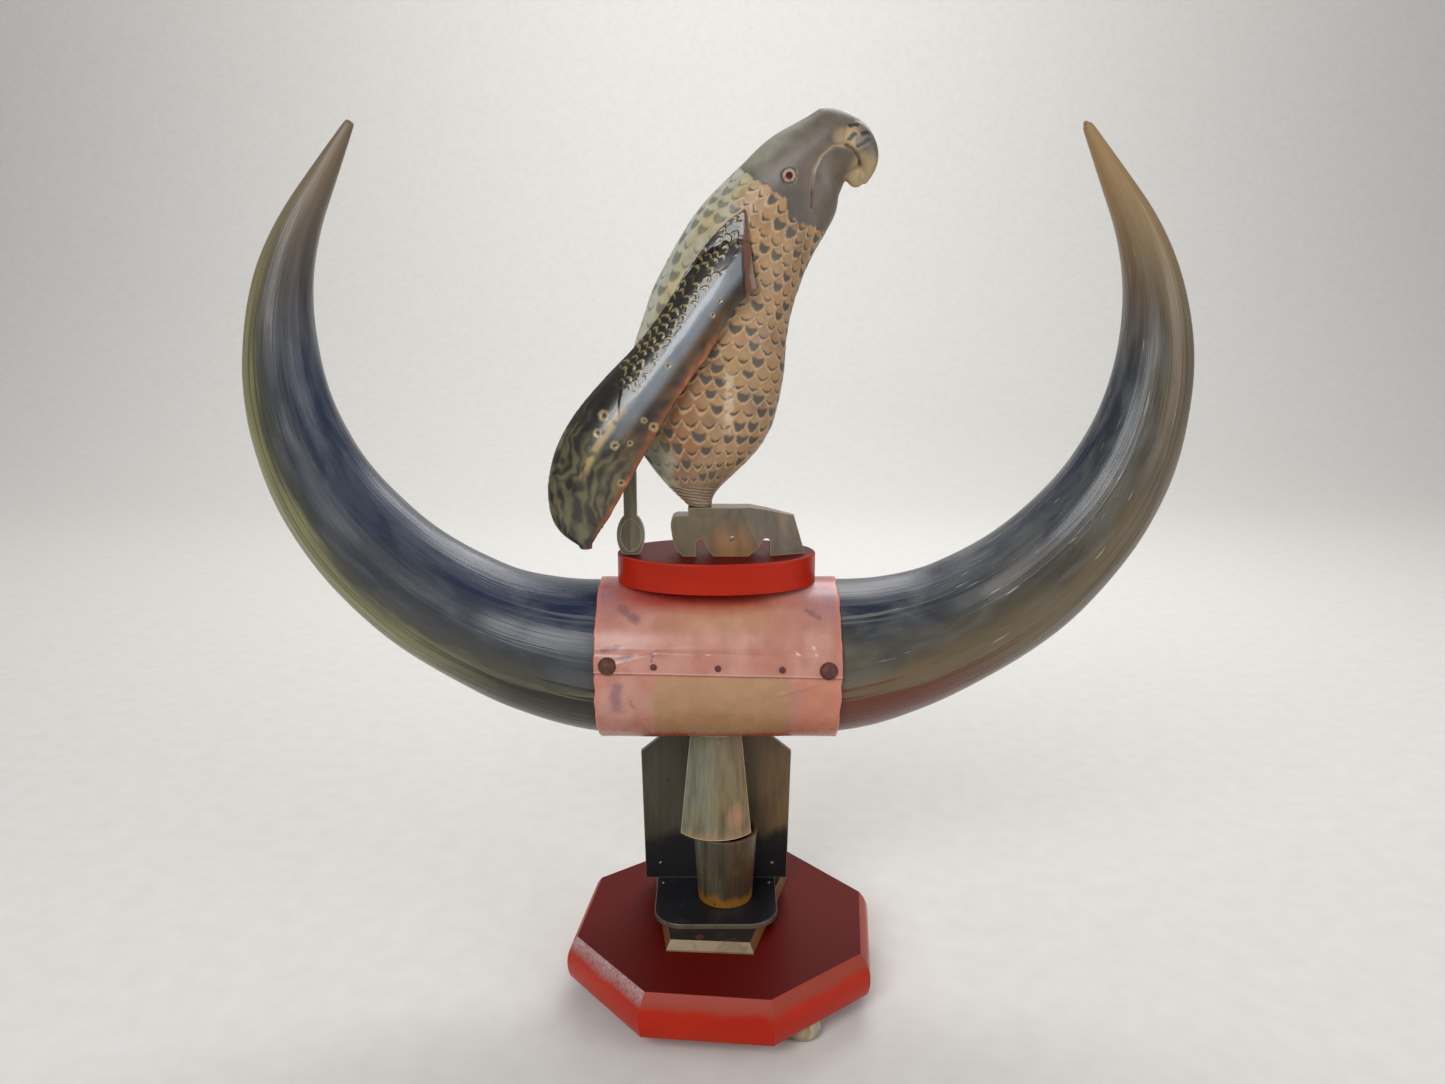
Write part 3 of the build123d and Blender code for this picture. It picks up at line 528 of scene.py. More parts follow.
@dataclass(frozen=True)
class PlanedWood:
    """Unpainted softwood with its year rings drawn out along X."""

    name: str = "planed_softwood"

    def build(self) -> Material:
        """Builds the wood from stretched rings and fine pores.

        Returns:
            The material.
        """
        recipe = Recipe(self.name)
        add = recipe.add
        place = add("TexCoord", out="Object")
        grain = add("Mapping", {"Vector": place, "Scale": (9.0, 160.0, 160.0)})
        rings = add("TexNoise", {"Vector": grain, "Scale": 1.6, "Detail": 8.0, "Distortion": 0.7})
        colour = add("ValToRGB", {"Fac": rings}, stops=((0.3, "#8A5C33"), (0.7, "#C69A66")))
        return recipe.finish({"Base Color": colour, "Roughness": 0.62}, (rings, 0.0003, 0.4))


Finish = Lacquer | HornSkin | Painted | HornPlate | TurnedFaces | Blotched | PlanedWood

# Meshes


def solid_copy(node: Piece) -> Body:
    """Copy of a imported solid's mesh, with its loose triangles joined up.

    Args:
        node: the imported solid's object.

    Returns:
        The merged mesh.
    """
    body = bmesh.new()
    body.from_mesh(node.data)
    bmesh.ops.remove_doubles(body, verts=body.verts, dist=1e-6)
    return body


def to_object(name: str, body: Body, finish: Material) -> Piece:
    """Makes a smooth-shaded piece from a bmesh and frees it.

    Args:
        name: the piece's name.
        body: its mesh, which is freed.
        finish: its material.

    Returns:
        The piece, at the origin.
    """
    mesh = bpy.data.meshes.new(name)
    body.to_mesh(mesh)
    body.free()
    mesh.materials.append(finish)
    for polygon in mesh.polygons:
        polygon.use_smooth = True
    piece = bpy.data.objects.new(name, mesh)
    bpy.context.scene.collection.objects.link(piece)
    return piece


def even_quads(
    node: Piece, cell_mm: float, smoothing: int, lumps: tuple[Matrix, ...] = ()
) -> Body:
    """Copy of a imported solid, remeshed into even small quads.

    Args:
        node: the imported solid's object.
        cell_mm: size of the quads.
        smoothing: rounds of smoothing that take off the solid's facets.
        lumps: places and sizes of balls that melt into the solid.

    Returns:
        The new mesh, ready to be carved.
    """
    body = solid_copy(node)
    for lump in lumps:
        bmesh.ops.create_icosphere(body, subdivisions=4, radius=1.0, matrix=lump)
    mesh = bpy.data.meshes.new("remesh")
    body.to_mesh(mesh)
    body.free()
    helper = bpy.data.objects.new("remesh", mesh)
    bpy.context.scene.collection.objects.link(helper)
    remesh = helper.modifiers.new("cells", "REMESH")
    remesh.mode = "VOXEL"
    remesh.voxel_size = cell_mm * MM
    if smoothing:
        smooth = helper.modifiers.new("smooth", "SMOOTH")
        smooth.factor = 0.5
        smooth.iterations = smoothing
    view = helper.evaluated_get(bpy.context.evaluated_depsgraph_get())
    result = bmesh.new()
    result.from_mesh(view.to_mesh())
    view.to_mesh_clear()
    bpy.data.objects.remove(helper)
    bpy.data.meshes.remove(mesh)
    return result


def carve(body: Body, mark: Mark, limit: Callable[[Vector], Vector]) -> None:
    """Moves each point along its normal and paints it.

    Args:
        body: the mesh to carve.
        mark: gives the height in metres and the paint of a point.
        limit: keeps a moved point inside the solid's box.
    """
    paint = body.verts.layers.float_color.new("paint")
    body.normal_update()
    moves = []
    for vert in body.verts:
        height, colour = mark(vert.co)
        vert[paint] = (*colour, 1.0)
        moves.append(vert.co + height * vert.normal)
    for vert, place in zip(body.verts, moves):
        vert.co = limit(place)
    body.normal_update()


def inside(name: str) -> Callable[[Vector], Vector]:
    """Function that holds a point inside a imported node's box.

    Args:
        name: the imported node.

    Returns:
        The function, which takes a point and gives it back clamped.
    """
    low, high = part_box(name)

    def hold(place: Vector) -> Vector:
        """Clamps the point."""
        return Vector(min(max(place[axis], low[axis]), high[axis]) for axis in range(3))

    return hold


def dress(nodes: dict[str, Piece], finish: Finish, *names: str) -> None:
    """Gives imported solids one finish.

    Args:
        nodes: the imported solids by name.
        finish: the finish, which is built once.
        names: the solids that get it.
    """
    material = finish.build()
    for name in names:
        for place in nodes[name].material_slots:
            place.material = material
        LOG.info("dressed %s in %s", name, material.name)


def stand_for(piece: Piece, node: str) -> None:
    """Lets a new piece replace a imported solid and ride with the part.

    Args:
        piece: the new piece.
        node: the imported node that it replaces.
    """
    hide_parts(node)
    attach(piece, "root")
    LOG.info("modelled %s for %s, %d faces", piece.name, node, len(piece.data.polygons))


class Track:
    """Smooth curve in the bird's middle plane, from which pattern places are read."""

    def __init__(self, points: Line, steps: int = 60) -> None:
        """Samples a curve through points in millimetres.

        Args:
            points: points that the curve runs through.
            steps: samples between two points.
        """
        ends = (2 * Vector(points[0]) - Vector(points[1]), 2 * Vector(points[-1]) - Vector(points[-2]))
        knots = [ends[0], *(Vector(point) for point in points), ends[1]]
        self.places: list[Vector] = []
        for first, second, third, fourth in zip(knots, knots[1:], knots[2:], knots[3:]):
            for step in range(steps):
                share = step / steps
                cubic = share * (3 * (second - third) + fourth - first)
                bend = (third - first) + share * (2 * first - 5 * second + 4 * third - fourth + cubic)
                self.places.append((second + 0.5 * share * bend) * MM)
        self.places.append(knots[-2] * MM)
        self.runs = [0.0]
        for before, after in zip(self.places, self.places[1:]):
            self.runs.append(self.runs[-1] + (after - before).length)
        self.tree = KDTree(len(self.places))
        for number, place in enumerate(self.places):
            self.tree.insert((place.x, place.y, 0.0), number)
        self.tree.balance()

    def read(self, forward: float, up: float) -> tuple[float, float, Vector]:
        """Run along the curve, distance to its right and the curve's heading, for a point in its plane.

        Args:
            forward: the point's place along X, in metres.
            up: its height, in metres.

        Returns:
            Run along the curve, distance to its right and the curve's heading.
        """
        _, number, _ = self.tree.find((forward, up, 0.0))
        before = self.places[max(0, number - 1)]
        after = self.places[min(len(self.places) - 1, number + 1)]
        along = (after - before).normalized()
        offset = Vector((forward, up)) - self.places[number]
        return self.runs[number] + offset.dot(along), offset.x * along.y - offset.y * along.x, along


def along_line(line: Line, x: float) -> float:
    """Height of a line through several points at a place along it.

    Args:
        line: the line's points, from left to right.
        x: the place.

    Returns:
        The line's height there.
    """
    for (x0, z0), (x1, z1) in zip(line, line[1:]):
        if x <= x1:
            return z0 + (z1 - z0) * (x - x0) / (x1 - x0)
    return line[-1][1]


def to_line(place: Point, line: Line) -> float:
    """Distance from a point to a line through several points.

    Args:
        place: the point.
        line: the line's points.

    Returns:
        The distance, in the points' own unit.
    """
    spot = Vector(place)
    best = inf
    for start, end in zip(line, line[1:]):
        first = Vector(start)
        step = Vector(end) - first
        share = min(1.0, max(0.0, (spot - first).dot(step) / step.length_squared))
        best = min(best, (spot - first - share * step).length)
    return best


# Sub-assemblies


class Side(Enum):
    """Which horn, as the direction it points."""

    LEFT = -1
    RIGHT = 1


@dataclass
class Horn:
    """One polished horn, spun ring by ring along its bend."""

    side: Side
    skin: HornSkin
    lead: float = 0.028
    bends: tuple[tuple[float, float], ...] = ((0.205, 51.0), (0.160, 70.0))
    tip_run: float = 0.048
    root_radius: float = 0.0406
    tip_radius: float = 0.0024
    flare: float = 0.005
    flare_run: tuple[float, float] = (0.040, 0.125)
    root_x: float = 0.022
    taper: float = 1.85
    chip: float = 0.0
    step: float = 0.0025
    segments: int = 120

    def length(self) -> float:
        """Length of the centre line."""
        return self.lead + sum(radius * radians(arc) for radius, arc in self.bends) + self.tip_run

    def station(self, run: float) -> tuple[Vector, float]:
        """Centre and heading of the section at a run from the root, in the plane of the horn.

        Args:
            run: distance from the root along the centre line.

        Returns:
            The centre and the heading in radians.
        """
        place = Vector((self.root_x, 0.0))
        heading = 0.0
        left = run
        straight = min(left, self.lead)
        place.x += straight
        left -= straight
        for radius, arc in self.bends:
            turn = min(left / radius, radians(arc))
            place.x += radius * (sin(heading + turn) - sin(heading))
            place.y += radius * (cos(heading) - cos(heading + turn))
            heading += turn
            left -= radius * turn
        return place + left * Vector((cos(heading), sin(heading))), heading

    def radius(self, run: float) -> float:
        """Radius of the section, which falls ever faster towards the tip and flares at the root."""
        taper = self.root_radius - (self.root_radius - self.tip_radius) * (run / self.length()) ** self.taper
        return taper + self.flare * (1 - ramp(run, *self.flare_run))

    def build(self, centre: Vector) -> Piece:
        """Draws the rings out from the root to the rounded tip and dresses the horn.

        Args:
            centre: middle of the drum between the horns.

        Returns:
            The finished horn.
        """
        body = bmesh.new()
        grain = body.verts.layers.float_vector.new("grain")
        ring = bmesh.ops.create_circle(body, cap_ends=True, segments=self.segments, radius=1.0)["verts"]
        edges = list(body.edges)
        home = {vert: vert.co.copy() for vert in ring}
        length = self.length()
        count = round(length / self.step)
        stops = [length * number / count for number in range(count)]
        cap = [(length - 0.4 * self.tip_radius, 0.93), (length, 0.66), (length + 0.0001, 0.3)]
        stations = [(run, 1.0) for run in stops] + cap
        for number, (run, share) in enumerate(stations):
            if number:
                made = bmesh.ops.extrude_edge_only(body, edges=edges)["geom"]
                fresh = [item for item in made if isinstance(item, bmesh.types.BMVert)]
                new_edges = (item for item in made if isinstance(item, bmesh.types.BMEdge))
                edges = [edge for edge in new_edges if all(vert in fresh for vert in edge.verts)]
                home = self._matched(fresh, home)
            self._place(home, run, share, centre, grain)
        bmesh.ops.edgeloop_fill(body, edges=edges)
        bmesh.ops.recalc_face_normals(body, faces=body.faces)
        name = f"horn_{self.side.name.lower()}"
        piece = to_object(f"polished_{name}", body, self.skin.build())
        stand_for(piece, name)
        return piece

    def _matched(self, fresh: list[bmesh.types.BMVert], home: dict) -> dict:
        """Pairs each new ring point with the unit-circle place of the point it came from.

        Args:
            fresh: points of the new ring.
            home: unit-circle places of the ring before.

        Returns:
            Unit-circle places of the new ring.
        """
        matched = {}
        for vert in fresh:
            source = next(edge.other_vert(vert) for edge in vert.link_edges if edge.other_vert(vert) in home)
            matched[vert] = home[source]
        return matched

    def _place(self, home: dict, run: float, share: float, centre: Vector, grain: Any) -> None:
        """Moves one ring to its section, with the slight waves of hand scraping, and notes its grain.

        Args:
            home: unit-circle place of each ring point.
            run: where the ring stands.
            share: its share of the full radius.
            centre: middle of the drum.
            grain: the layer that keeps the grain.
        """
        spot, heading = self.station(min(run, self.length()))
        radius = self.radius(min(run, self.length())) * share
        for vert, unit in home.items():
            outer, front = unit.x, unit.y
            wave = noise.noise(Vector((2.2 * outer, 2.2 * front, 26 * run + 9 * self.side.value)))
            rings = sin(run / 0.0068 + 2 * noise.noise(Vector((outer, front, 40 * run))))
            depth = 0.0005 * (wave - 0.6) * ramp(run, 0.0, 0.05) + 0.00012 * rings * ramp(run, 0.19, 0.06)
            reach = radius + depth * min(1.0, radius / 0.02)
            prongs = 0.5 + 0.5 * cos(2 * atan2(front, outer))
            prongs += 0.4 * noise.noise(Vector((3 * outer, 3 * front, 0)))
            back = self.chip * prongs * ramp(run, self.length() - 0.004, self.length())
            x = spot.x + reach * outer * sin(heading) - back * cos(heading)
            z = spot.y - reach * outer * cos(heading) - back * sin(heading)
            vert.co = centre + Vector((self.side.value * x, -reach * front, z))
            vert[grain] = (outer, front, run)


@dataclass
class HeadBlock:
    """Hide stretched round the wooden drum, with its lap tacked down at the front.

    Turns are degrees up from the front, and places on the sheet are millimetres across.
    """

    length: float
    centre: Vector
    radius: float = 0.0478
    wall: float = 0.0012
    lap_edge: float = 4.3
    lap_slant: float = -0.026
    lap_top: float = 17.0
    lap_fade: float = 6.0
    columns: int = 150
    rows: int = 300
    crowding: float = 0.6
    creases: tuple[tuple[Point, Point, float], ...] = (
        ((-56, 12), (-38, 17.5), 0.5),
        ((-34, 19.5), (-12, 18.5), 0.45),
        ((-4, 18.5), (34, 16.5), 0.6),
        ((50, 11), (44, 21), 0.45),
        ((57, 13), (54, 23), 0.4),
        ((34, -10), (55, -1), 0.6),
        ((-62, 0), (-50, -3), 0.3),
    )
    stains: tuple[tuple[Point, Point, float], ...] = (
        ((-63, 22), (-52, 25), 1.6),
        ((-58, 14), (-47, 17), 1.5),
        ((-37, 14), (-36, 18), 1.1),
        ((-56, -4), (-57, -22), 4.5),
        ((-50, -12), (-47, -20), 1.2),
        ((-54, 52), (-46, 44), 4.0),
        ((50, 50), (56, 44), 2.2),
    )

    def turn_at(self, across: float, share: float) -> float:
        """Turn of a sheet point at a share of the way from its outer edge, with rows crowded at the front.

        Args:
            across: place across the sheet.
            share: share of the way round.

        Returns:
            The turn in degrees.
        """
        first = self.lap_edge + self.lap_slant * across
        even = share - self.crowding / (2 * pi) * sin(2 * pi * share)
        return first + even * (360 + self.lap_top - first)

    def build(self) -> Piece:
        """Bends a flat sheet round the drum, creases it and gives it its wall.

        Returns:
            The finished wrap.
        """
        body = bmesh.new()
        paint = body.verts.layers.float_color.new("paint")
        bmesh.ops.create_grid(body, x_segments=self.columns, y_segments=self.rows, size=0.5)
        for vert in body.verts:
            across = vert.co.x * self.length / MM
            turn = self.turn_at(across, vert.co.y + 0.5)
            vert[paint] = (*self.paint(across, turn), 1.0)
            vert.co = self.place(across, turn)
        bmesh.ops.recalc_face_normals(body, faces=body.faces)
        outward = sum(face.normal.dot(face.calc_center_median() - self.centre) for face in body.faces)
        if outward < 0:
            bmesh.ops.reverse_faces(body, faces=body.faces)
        bmesh.ops.solidify(body, geom=body.faces, thickness=self.wall)
        finish = Painted("dyed_stretched_hide", 0.24, grain_mm=2.2, grain_depth=0.07, relief_mm=0.06)
        piece = to_object("hide_wrap", body, finish.build())
        stand_for(piece, "wrap_sheet")
        return piece

    def near_mark(self, across: float, turn: float, mark: tuple[Point, Point, float]) -> float:
        """Distance in millimetres from a sheet point to a mark's middle line, for a mark at the front.

        Args:
            across: place across the sheet.
            turn: turn of the point.
            mark: the mark's two ends and its width.

        Returns:
            The distance in millimetres.
        """
        per_degree = radians(self.radius / MM)
        below = turn if turn < 180 else turn - 360
        line = tuple((x, per_degree * angle) for x, angle in mark[:2])
        return to_line((across, per_degree * below), line)

    def place(self, across: float, turn: float) -> Vector:
        """Place of a sheet point, with its swells, creases, pull at the tacks and uneven hem.

        Args:
            across: place across the sheet.
            turn: turn of the point.

        Returns:
            The point in space.
        """
        lift = self.wall * (1 - ramp(turn, self.lap_top, self.lap_top + self.lap_fade))
        spot = Vector((across / 30, 1.6 * cos(radians(turn)), 1.6 * sin(radians(turn))))
        height = 0.45 * (noise.noise(spot) - 0.6)
        if turn < 60 or turn > 320:
            wobble = 0.5 * noise.noise(3 * spot)
            for crease in self.creases:
                apart = self.near_mark(across, turn, crease) + wobble
                height += crease[2] * exp(-((apart / 1.1) ** 2))
            pull = cos(2 * pi * across / 35.5) * ramp(turn, 24, 14) * ramp(turn, 0, 9)
            height -= 0.3 * pull
        radius = self.radius + lift + (height - 0.2) * MM
        half = self.length / 2 / MM
        hem = 0.8 * noise.noise(Vector((turn / 9, 0.4 * copysign(1, across), 1.0))) - 0.5
        x = across + copysign(hem, across) * ramp(abs(across), half - 12, half)
        angle = radians(turn)
        return self.centre + Vector((x * MM, -radius * cos(angle), radius * sin(angle)))

    def paint(self, across: float, turn: float) -> Triple:
        """Colour of a sheet point: pink dye above, a beige panel below the lap, red hems and purple stains,
        with a painted red reflection and shade under the plinth and a painted highlight and shadow at the
        lap's edge.

        Args:
            across: place across the sheet.
            turn: turn of the point.

        Returns:
            Its colour.
        """
        below = turn if turn < 180 else turn - 360
        half = self.length / 2 / MM
        spot = Vector((across * MM, turn * 0.0008, 0.0))
        cloud = rough(spot, 22) + 0.4 * rough(spot, 7, 3.0)
        warm = ramp(abs(across - 4) + 8 * cloud, 46, 12) * ramp(below, 16, 52)
        corner = ramp(abs(across + 3) + 6 * cloud, 44, 66) * ramp(below, 24, 66)
        panel = ramp(across + 3 * cloud, -38, -33) * ramp(across + 5 * cloud, 44, 34) * ramp(below, 4.6, 3.6)
        salmon = ramp(across + 4 * cloud, 40, 50) * ramp(below, 3, 0)
        # Painted reflection and shade of the red plinth on the sheet under it and at its corners
        glow = ramp(abs(across + 10) + 5 * cloud, 64, 20) * ramp(below + 4 * cloud, 44, 60)
        glow = max(glow, ramp(abs(across) + 3 * cloud, 50, 62) * ramp(below, 66, 80))
        colour = laid(
            mixed("#B57A6A", "#BF8B7D", ramp(cloud, -0.3, 0.5)),
            ("#B98A66", 0.75 * warm),
            ("#96707A", 0.8 * corner),
            ("#AB845E", 0.9 * panel * ramp(below, -62, -48)),
            ("#C17C62", 0.8 * salmon),
            ("#A42A28", 0.85 * glow),
        )
        for stain in self.stains if abs(below) < 70 else ():
            apart = self.near_mark(across, turn, stain)
            apart += 2.6 * rough(spot, 6, 5.0) + 1.3 * rough(spot, 2, 2.0)
            colour = mixed(colour, "#74525F", 0.62 * ramp(apart, 1.15 * stain[2], 0.1 * stain[2]))
        bottom = ramp(below + 3 * cloud, -47, -57) * ramp(below, -120, -96)
        first = self.turn_at(across, 0.0)
        return laid(
            colour,
            ("#A5301F", 0.8 * bottom),
            ("#C87668", 0.6 * ramp(abs(across), half - 3.5, half - 1.0)),
            # A painted highlight along the lap's raised edge, and a painted shadow just under it
            ("#D2A096", 0.55 * ramp(abs(turn - first - 0.7), 0.8, 0.3)),
            ("#9C4A44", 0.5 * ramp(turn, 358.0 + first, 359.6 + first)),
        )


@dataclass
class Bird:
    """Bird carved from one horn, with its scales cut by gouge, and its two curved wings.

    Its lines, bars and pits are millimetres forward of its foot and up, but wing_half gives half the wing's
    width by the run along its quill.
    """

    foot: Vector
    neck: Line = ((36.5, 158), (58, 183), (76, 195.5), (89, 190), (88, 175))
    rump: Line = ((-1.5, 0), (-0.8, 42), (4, 82), (15.5, 122))
    quill: Line = ((26.8, 137.6), (-4.5, 102), (-37.2, 60.4), (-56.3, 32), (-66.3, 3.5), (-63.4, -19))
    proud: float = 0.002
    shoulder: Triple = (0.005, 0.0, 0.118)
    shoulder_draw: float = 0.03
    shoulder_blend: float = 0.006
    clear: float = 0.2
    mandible: Triple = (0.0050, 0.0040, 0.0064)
    mandible_place: Triple = (0.0822, 0.0, 0.1795)
    mandible_lean: float = -20.0
    wing_half: Line = ((0, 24.5), (47, 18.2), (100, 20.6), (134, 23), (164, 18.6), (187, 7.6))
    roundness: float = 0.6
    columns: int = 24
    row: float = 0.0076
    ruff: Line = (
        (10, 190), (24.9, 179.3), (37.3, 171.8), (44.4, 166.6), (46.1, 157.6), (64.2, 151.6), (76, 146),
    )
    cheek: Line = ((58.2, 161.4), (58.3, 171.8), (59.3, 180.7), (62.7, 187.4), (68.8, 192.5), (76, 193.5))
    slit: Line = ((76, 193.5), (80, 191.6), (83.6, 187.6), (85.2, 182.0), (84.9, 177.5), (83.6, 172.5))
    cere_bars: tuple[tuple[Point, Point], ...] = (
        ((77.8, 203.2), (82.4, 204.4)),
        ((77.2, 196.2), (80.4, 199.0)),
        ((84.5, 199.2), (88.8, 201.0)),
        ((82.2, 193.2), (88.2, 196.6)),
    )
    pits: tuple[Triple, ...] = (
        (-16.9, 80.8, 1.8),
        (-25.0, 48.4, 2.3),
        (-45.5, 39.0, 2.2),
        (-51.4, 54.6, 2.6),
        (10.2, 113.9, 1.2),
        (6.3, 106.5, 1.3),
        (-54.7, 45.3, 2.0),
        (-42.7, 18.4, 1.9),
        (-30.0, 52.0, 1.5),
        (-37.5, 40.0, 1.5),
    )

    def __post_init__(self) -> None:
        """Draws the curves that the patterns follow and spaces the scale columns evenly round an oval."""
        self.spine = Track(self.rump + self.neck)
        self.wing = Track(self.quill)
        steps = 400
        lengths = [0.0]
        for number in range(steps):
            angle = pi * (number + 0.5) / steps
            lengths.append(lengths[-1] + hypot(sin(angle), self.roundness * cos(angle)))
        self._shares = [length / lengths[-1] / 2 for length in lengths]

    def around(self, right: float, side: float) -> float:
        """Share of the way round the body, from 0 at the breast to 0.5 at the back."""
        angle = atan2(abs(side) / self.roundness, right)
        return self._shares[min(len(self._shares) - 1, round(angle / pi * (len(self._shares) - 1)))]

    def scale_at(self, column: float, row: float) -> Triple:
        """Where a point lies in the scale pattern.

        Args:
            column: place across the columns, one unit each.
            row: place along the rows, one unit each.

        Returns:
            Height above the rim of its own scale, place across that scale and a fixed random value.
        """
        number = floor(row)
        above = row - number
        offset = 0.5 * (number % 2)
        across = (column + offset) % 1 - 0.5
        rim = 0.55 * (1 - cos(pi * across))
        if above < rim:
            number -= 1
            offset = 0.5 - offset
            above += 1
            across = (column + offset) % 1 - 0.5
            rim = 0.55 * (1 - cos(pi * across))
        cell = noise.cell(Vector((floor(column + offset) + 0.5, number + 0.5, 3.5)))
        return above - rim, across, cell

    def body_mark(self, place: Vector) -> tuple[float, Triple]:
        """Carving depth and paint of a point on the body or head.

        Args:
            place: a point on the bird.

        Returns:
            Height in metres and colour.
        """
        local = place - self.foot
        run, right, _ = self.spine.read(local.x, local.z)
        share = self.around(right, local.y)
        flat = (local.x / MM, local.z / MM)
        jag = 1.6 * abs(((flat[0] * 0.28 + flat[1] * 0.12) % 1) * 2 - 1) + 1.5 * rough(local, 6)
        if flat[1] + jag > along_line(self.ruff, flat[0]) and flat[0] > -5:
            return self.head_mark(local, flat, share)
        return self.scales_mark(local, run, share)

    def scales_mark(self, local: Vector, run: float, share: float) -> tuple[float, Triple]:
        """Gouged scales on breast and flanks, the same but pale on the back, and a scored leg, with painted
        shade in the thin gouges and on the flank by the wing, a painted sheen on the back and a pale streak
        that is partly wear and partly a painted highlight.

        Args:
            local: the point, from the foot.
            run: run along the spine.
            share: share of the way round.

        Returns:
            Height in metres and colour.
        """
        column = self.columns * share + 0.3 * rough(local, 22, 5.0)
        row = run / self.row + 0.35 * rough(local, 26, 9.0)
        height, across, cell = self.scale_at(column, row)
        flat = (local.x / MM, local.z / MM)
        back = ramp(share + 0.03 * rough(local, 12), 0.335, 0.385)
        scaled = ramp(run + 0.004 * rough(local, 7), 0.010, 0.022)
        wobble = 0.05 * rough(local, 3, 6.0)
        patch = 1.0 if cell > 0.08 else 0.0
        thick = (0.17 + patch * (0.36 + 0.16 * cell)) * (1 - (across / (0.46 + 0.16 * patch)) ** 2)
        side = 0.39 - 0.02 * patch
        # Dark gouge marks: the large patches are the horn's own dark colour, and the thin crescents in cells
        # without a patch are painted shade in the gouge
        cut = ramp(height + wobble, 0.19, 0.25) * ramp(height + wobble, 0.27 + thick, 0.19 + thick)
        cut *= ramp(abs(across) + wobble, side + 0.05, side - 0.03) * scaled
        rim = ramp(height + wobble, 0.26, 0.18) * scaled
        # Painted shade: the flank by the wing's lower edge is darker and redder
        flank = ramp(share + 0.02 * rough(local, 9), 0.20, 0.30) * ramp(run, 0.120, 0.095) * (1 - back)
        # Painted sheen: a blue-white highlight down the middle of the back
        sheen = ramp(share, 0.40, 0.45) * ramp(share, 0.50, 0.46)
        # A pale streak on the breast, partly wear and partly a painted highlight
        worn = ramp(abs(flat[0] - 15 + 1.5 * rough(local, 5)), 4.0, 1.5) * ramp(abs(flat[1] - 60), 20, 12)
        worn *= ramp(rough(local, 2.2), -0.3, 0.1)
        leg = ramp(local.z + 0.001 * rough(local, 4, 2.0), 0.0140, 0.0115)
        scored = 0.5 + 0.5 * sin(2 * pi * (local.z + 0.15 * local.x) / 0.0019 + 1.5 * rough(local, 4))
        tan = laid(
            mixed("#A5835D", "#8A6C50", ramp(rough(local, 12, 1.0), -0.1, 0.7)),
            ("#7E4A22", 0.65 * flank),
            ("#86705A", 0.8 * ramp(run, 0.036, 0.012)),
        )
        pale = mixed("#A8A28A", "#B3A479", ramp(rough(local, 16, 4.0), -0.1, 0.5))
        pale = mixed(pale, "#BFC6C0", 0.5 * sheen)
        dark = mixed(mixed("#47423E", "#2E241D", 1 - patch), "#565A4E", back)
        colour = laid(
            mixed(tan, pale, back),
            ("#BE9F78", 0.6 * rim * (1 - back)),
            (dark, (0.92 - 0.25 * back) * cut),
            ("#CDBFA6", 0.6 * worn),
            (mixed("#5C4A3B", "#A8947C", scored), leg),
        )
        lift = 0.00032 * (1 - 0.7 * min(height, 1.2)) * scaled * (1 - 0.7 * back)
        gouge = 0.00030 * cut * (1 - 0.5 * patch) * (1 - 0.6 * back)
        return lift - gouge + 0.0002 * (scored - 0.5) * leg, colour

    def head_mark(self, local: Vector, flat: Point, share: float) -> tuple[float, Triple]:
        """Smooth sanded head with its cheek line, beak slit and cere.

        Args:
            local: the point, from the foot.
            flat: the same in millimetres, seen from the side.
            share: share of the way round.

        Returns:
            Height in metres and colour.
        """
        wide = ramp(abs(local.y), 0.002, 0.005)
        cheek, slit = to_line(flat, self.cheek), to_line(flat, self.slit)
        hollow = ramp(hypot(flat[0] - 74.5, flat[1] - 182), 13, 3) * ramp(cheek, 0.3, 3.5) * wide
        cere = ramp(hypot(flat[0] - 82.5, (flat[1] - 198) * 0.95) + 1.2 * rough(local, 4), 8.5, 6.0)
        height = -0.0008 * ramp(cheek, 0.9, 0.2) * wide - 0.0016 * hollow
        height -= 0.0014 * ramp(share, 0.28, 0.45) * ramp(flat[0], 30, 52)
        height += 0.0004 * cere * wide
        height -= 0.0009 * ramp(slit, 1.0, 0.25) * wide
        # Painted highlight: a pale golden patch on the side of the beak, left of the cere
        painted_highlight = ramp(hypot(flat[0] - 74, flat[1] - 197) + 1.5 * rough(local, 4, 3.0), 6.5, 2.0)
        bill = ramp(flat[0] - 0.35 * (flat[1] - 190), 80.0, 84.5)
        bill *= ramp(flat[1] + 1.5 * rough(local, 5), 193, 186)
        nape = ramp(share + 0.05 * rough(local, 10), 0.33, 0.45) * ramp(flat[0], 66, 40)
        cream = mixed("#B39A6C", "#6E665C", ramp(flat[0] + 3 * rough(local, 4, 7.0), 80, 85))
        colour = laid(
            mixed("#675D52", "#54463A", ramp(rough(local, 15, 2.0), 0.1, 0.8)),
            ("#8B8A7B", nape),
            ("#4C4843", 0.7 * ramp(flat[1] + 0.4 * flat[0], 196, 186) * ramp(flat[0], 62, 50)),
            # Painted shade in the hollow between cheek and beak
            ("#5F5340", 0.7 * hollow),
            # The cheek groove: dark red low down, and its pale upper part a painted highlight
            (mixed("#5A3026", "#A48B6C", ramp(flat[1], 168, 182)), 0.8 * ramp(cheek, 0.9, 0.3) * wide),
            ("#B08F66", 0.6 * painted_highlight * wide),
            (cream, cere),
            ("#A58F66", 0.85 * bill),
            ("#4E1F16", 0.85 * ramp(slit, 1.1, 0.45) * wide),
        )
        for bar in self.cere_bars:
            apart = to_line(flat, bar) + 0.5 * rough(local, 1.5, 2.0)
            colour = mixed(colour, "#22211F", 0.92 * ramp(apart, 1.4, 0.8) * wide)
        return height, colour

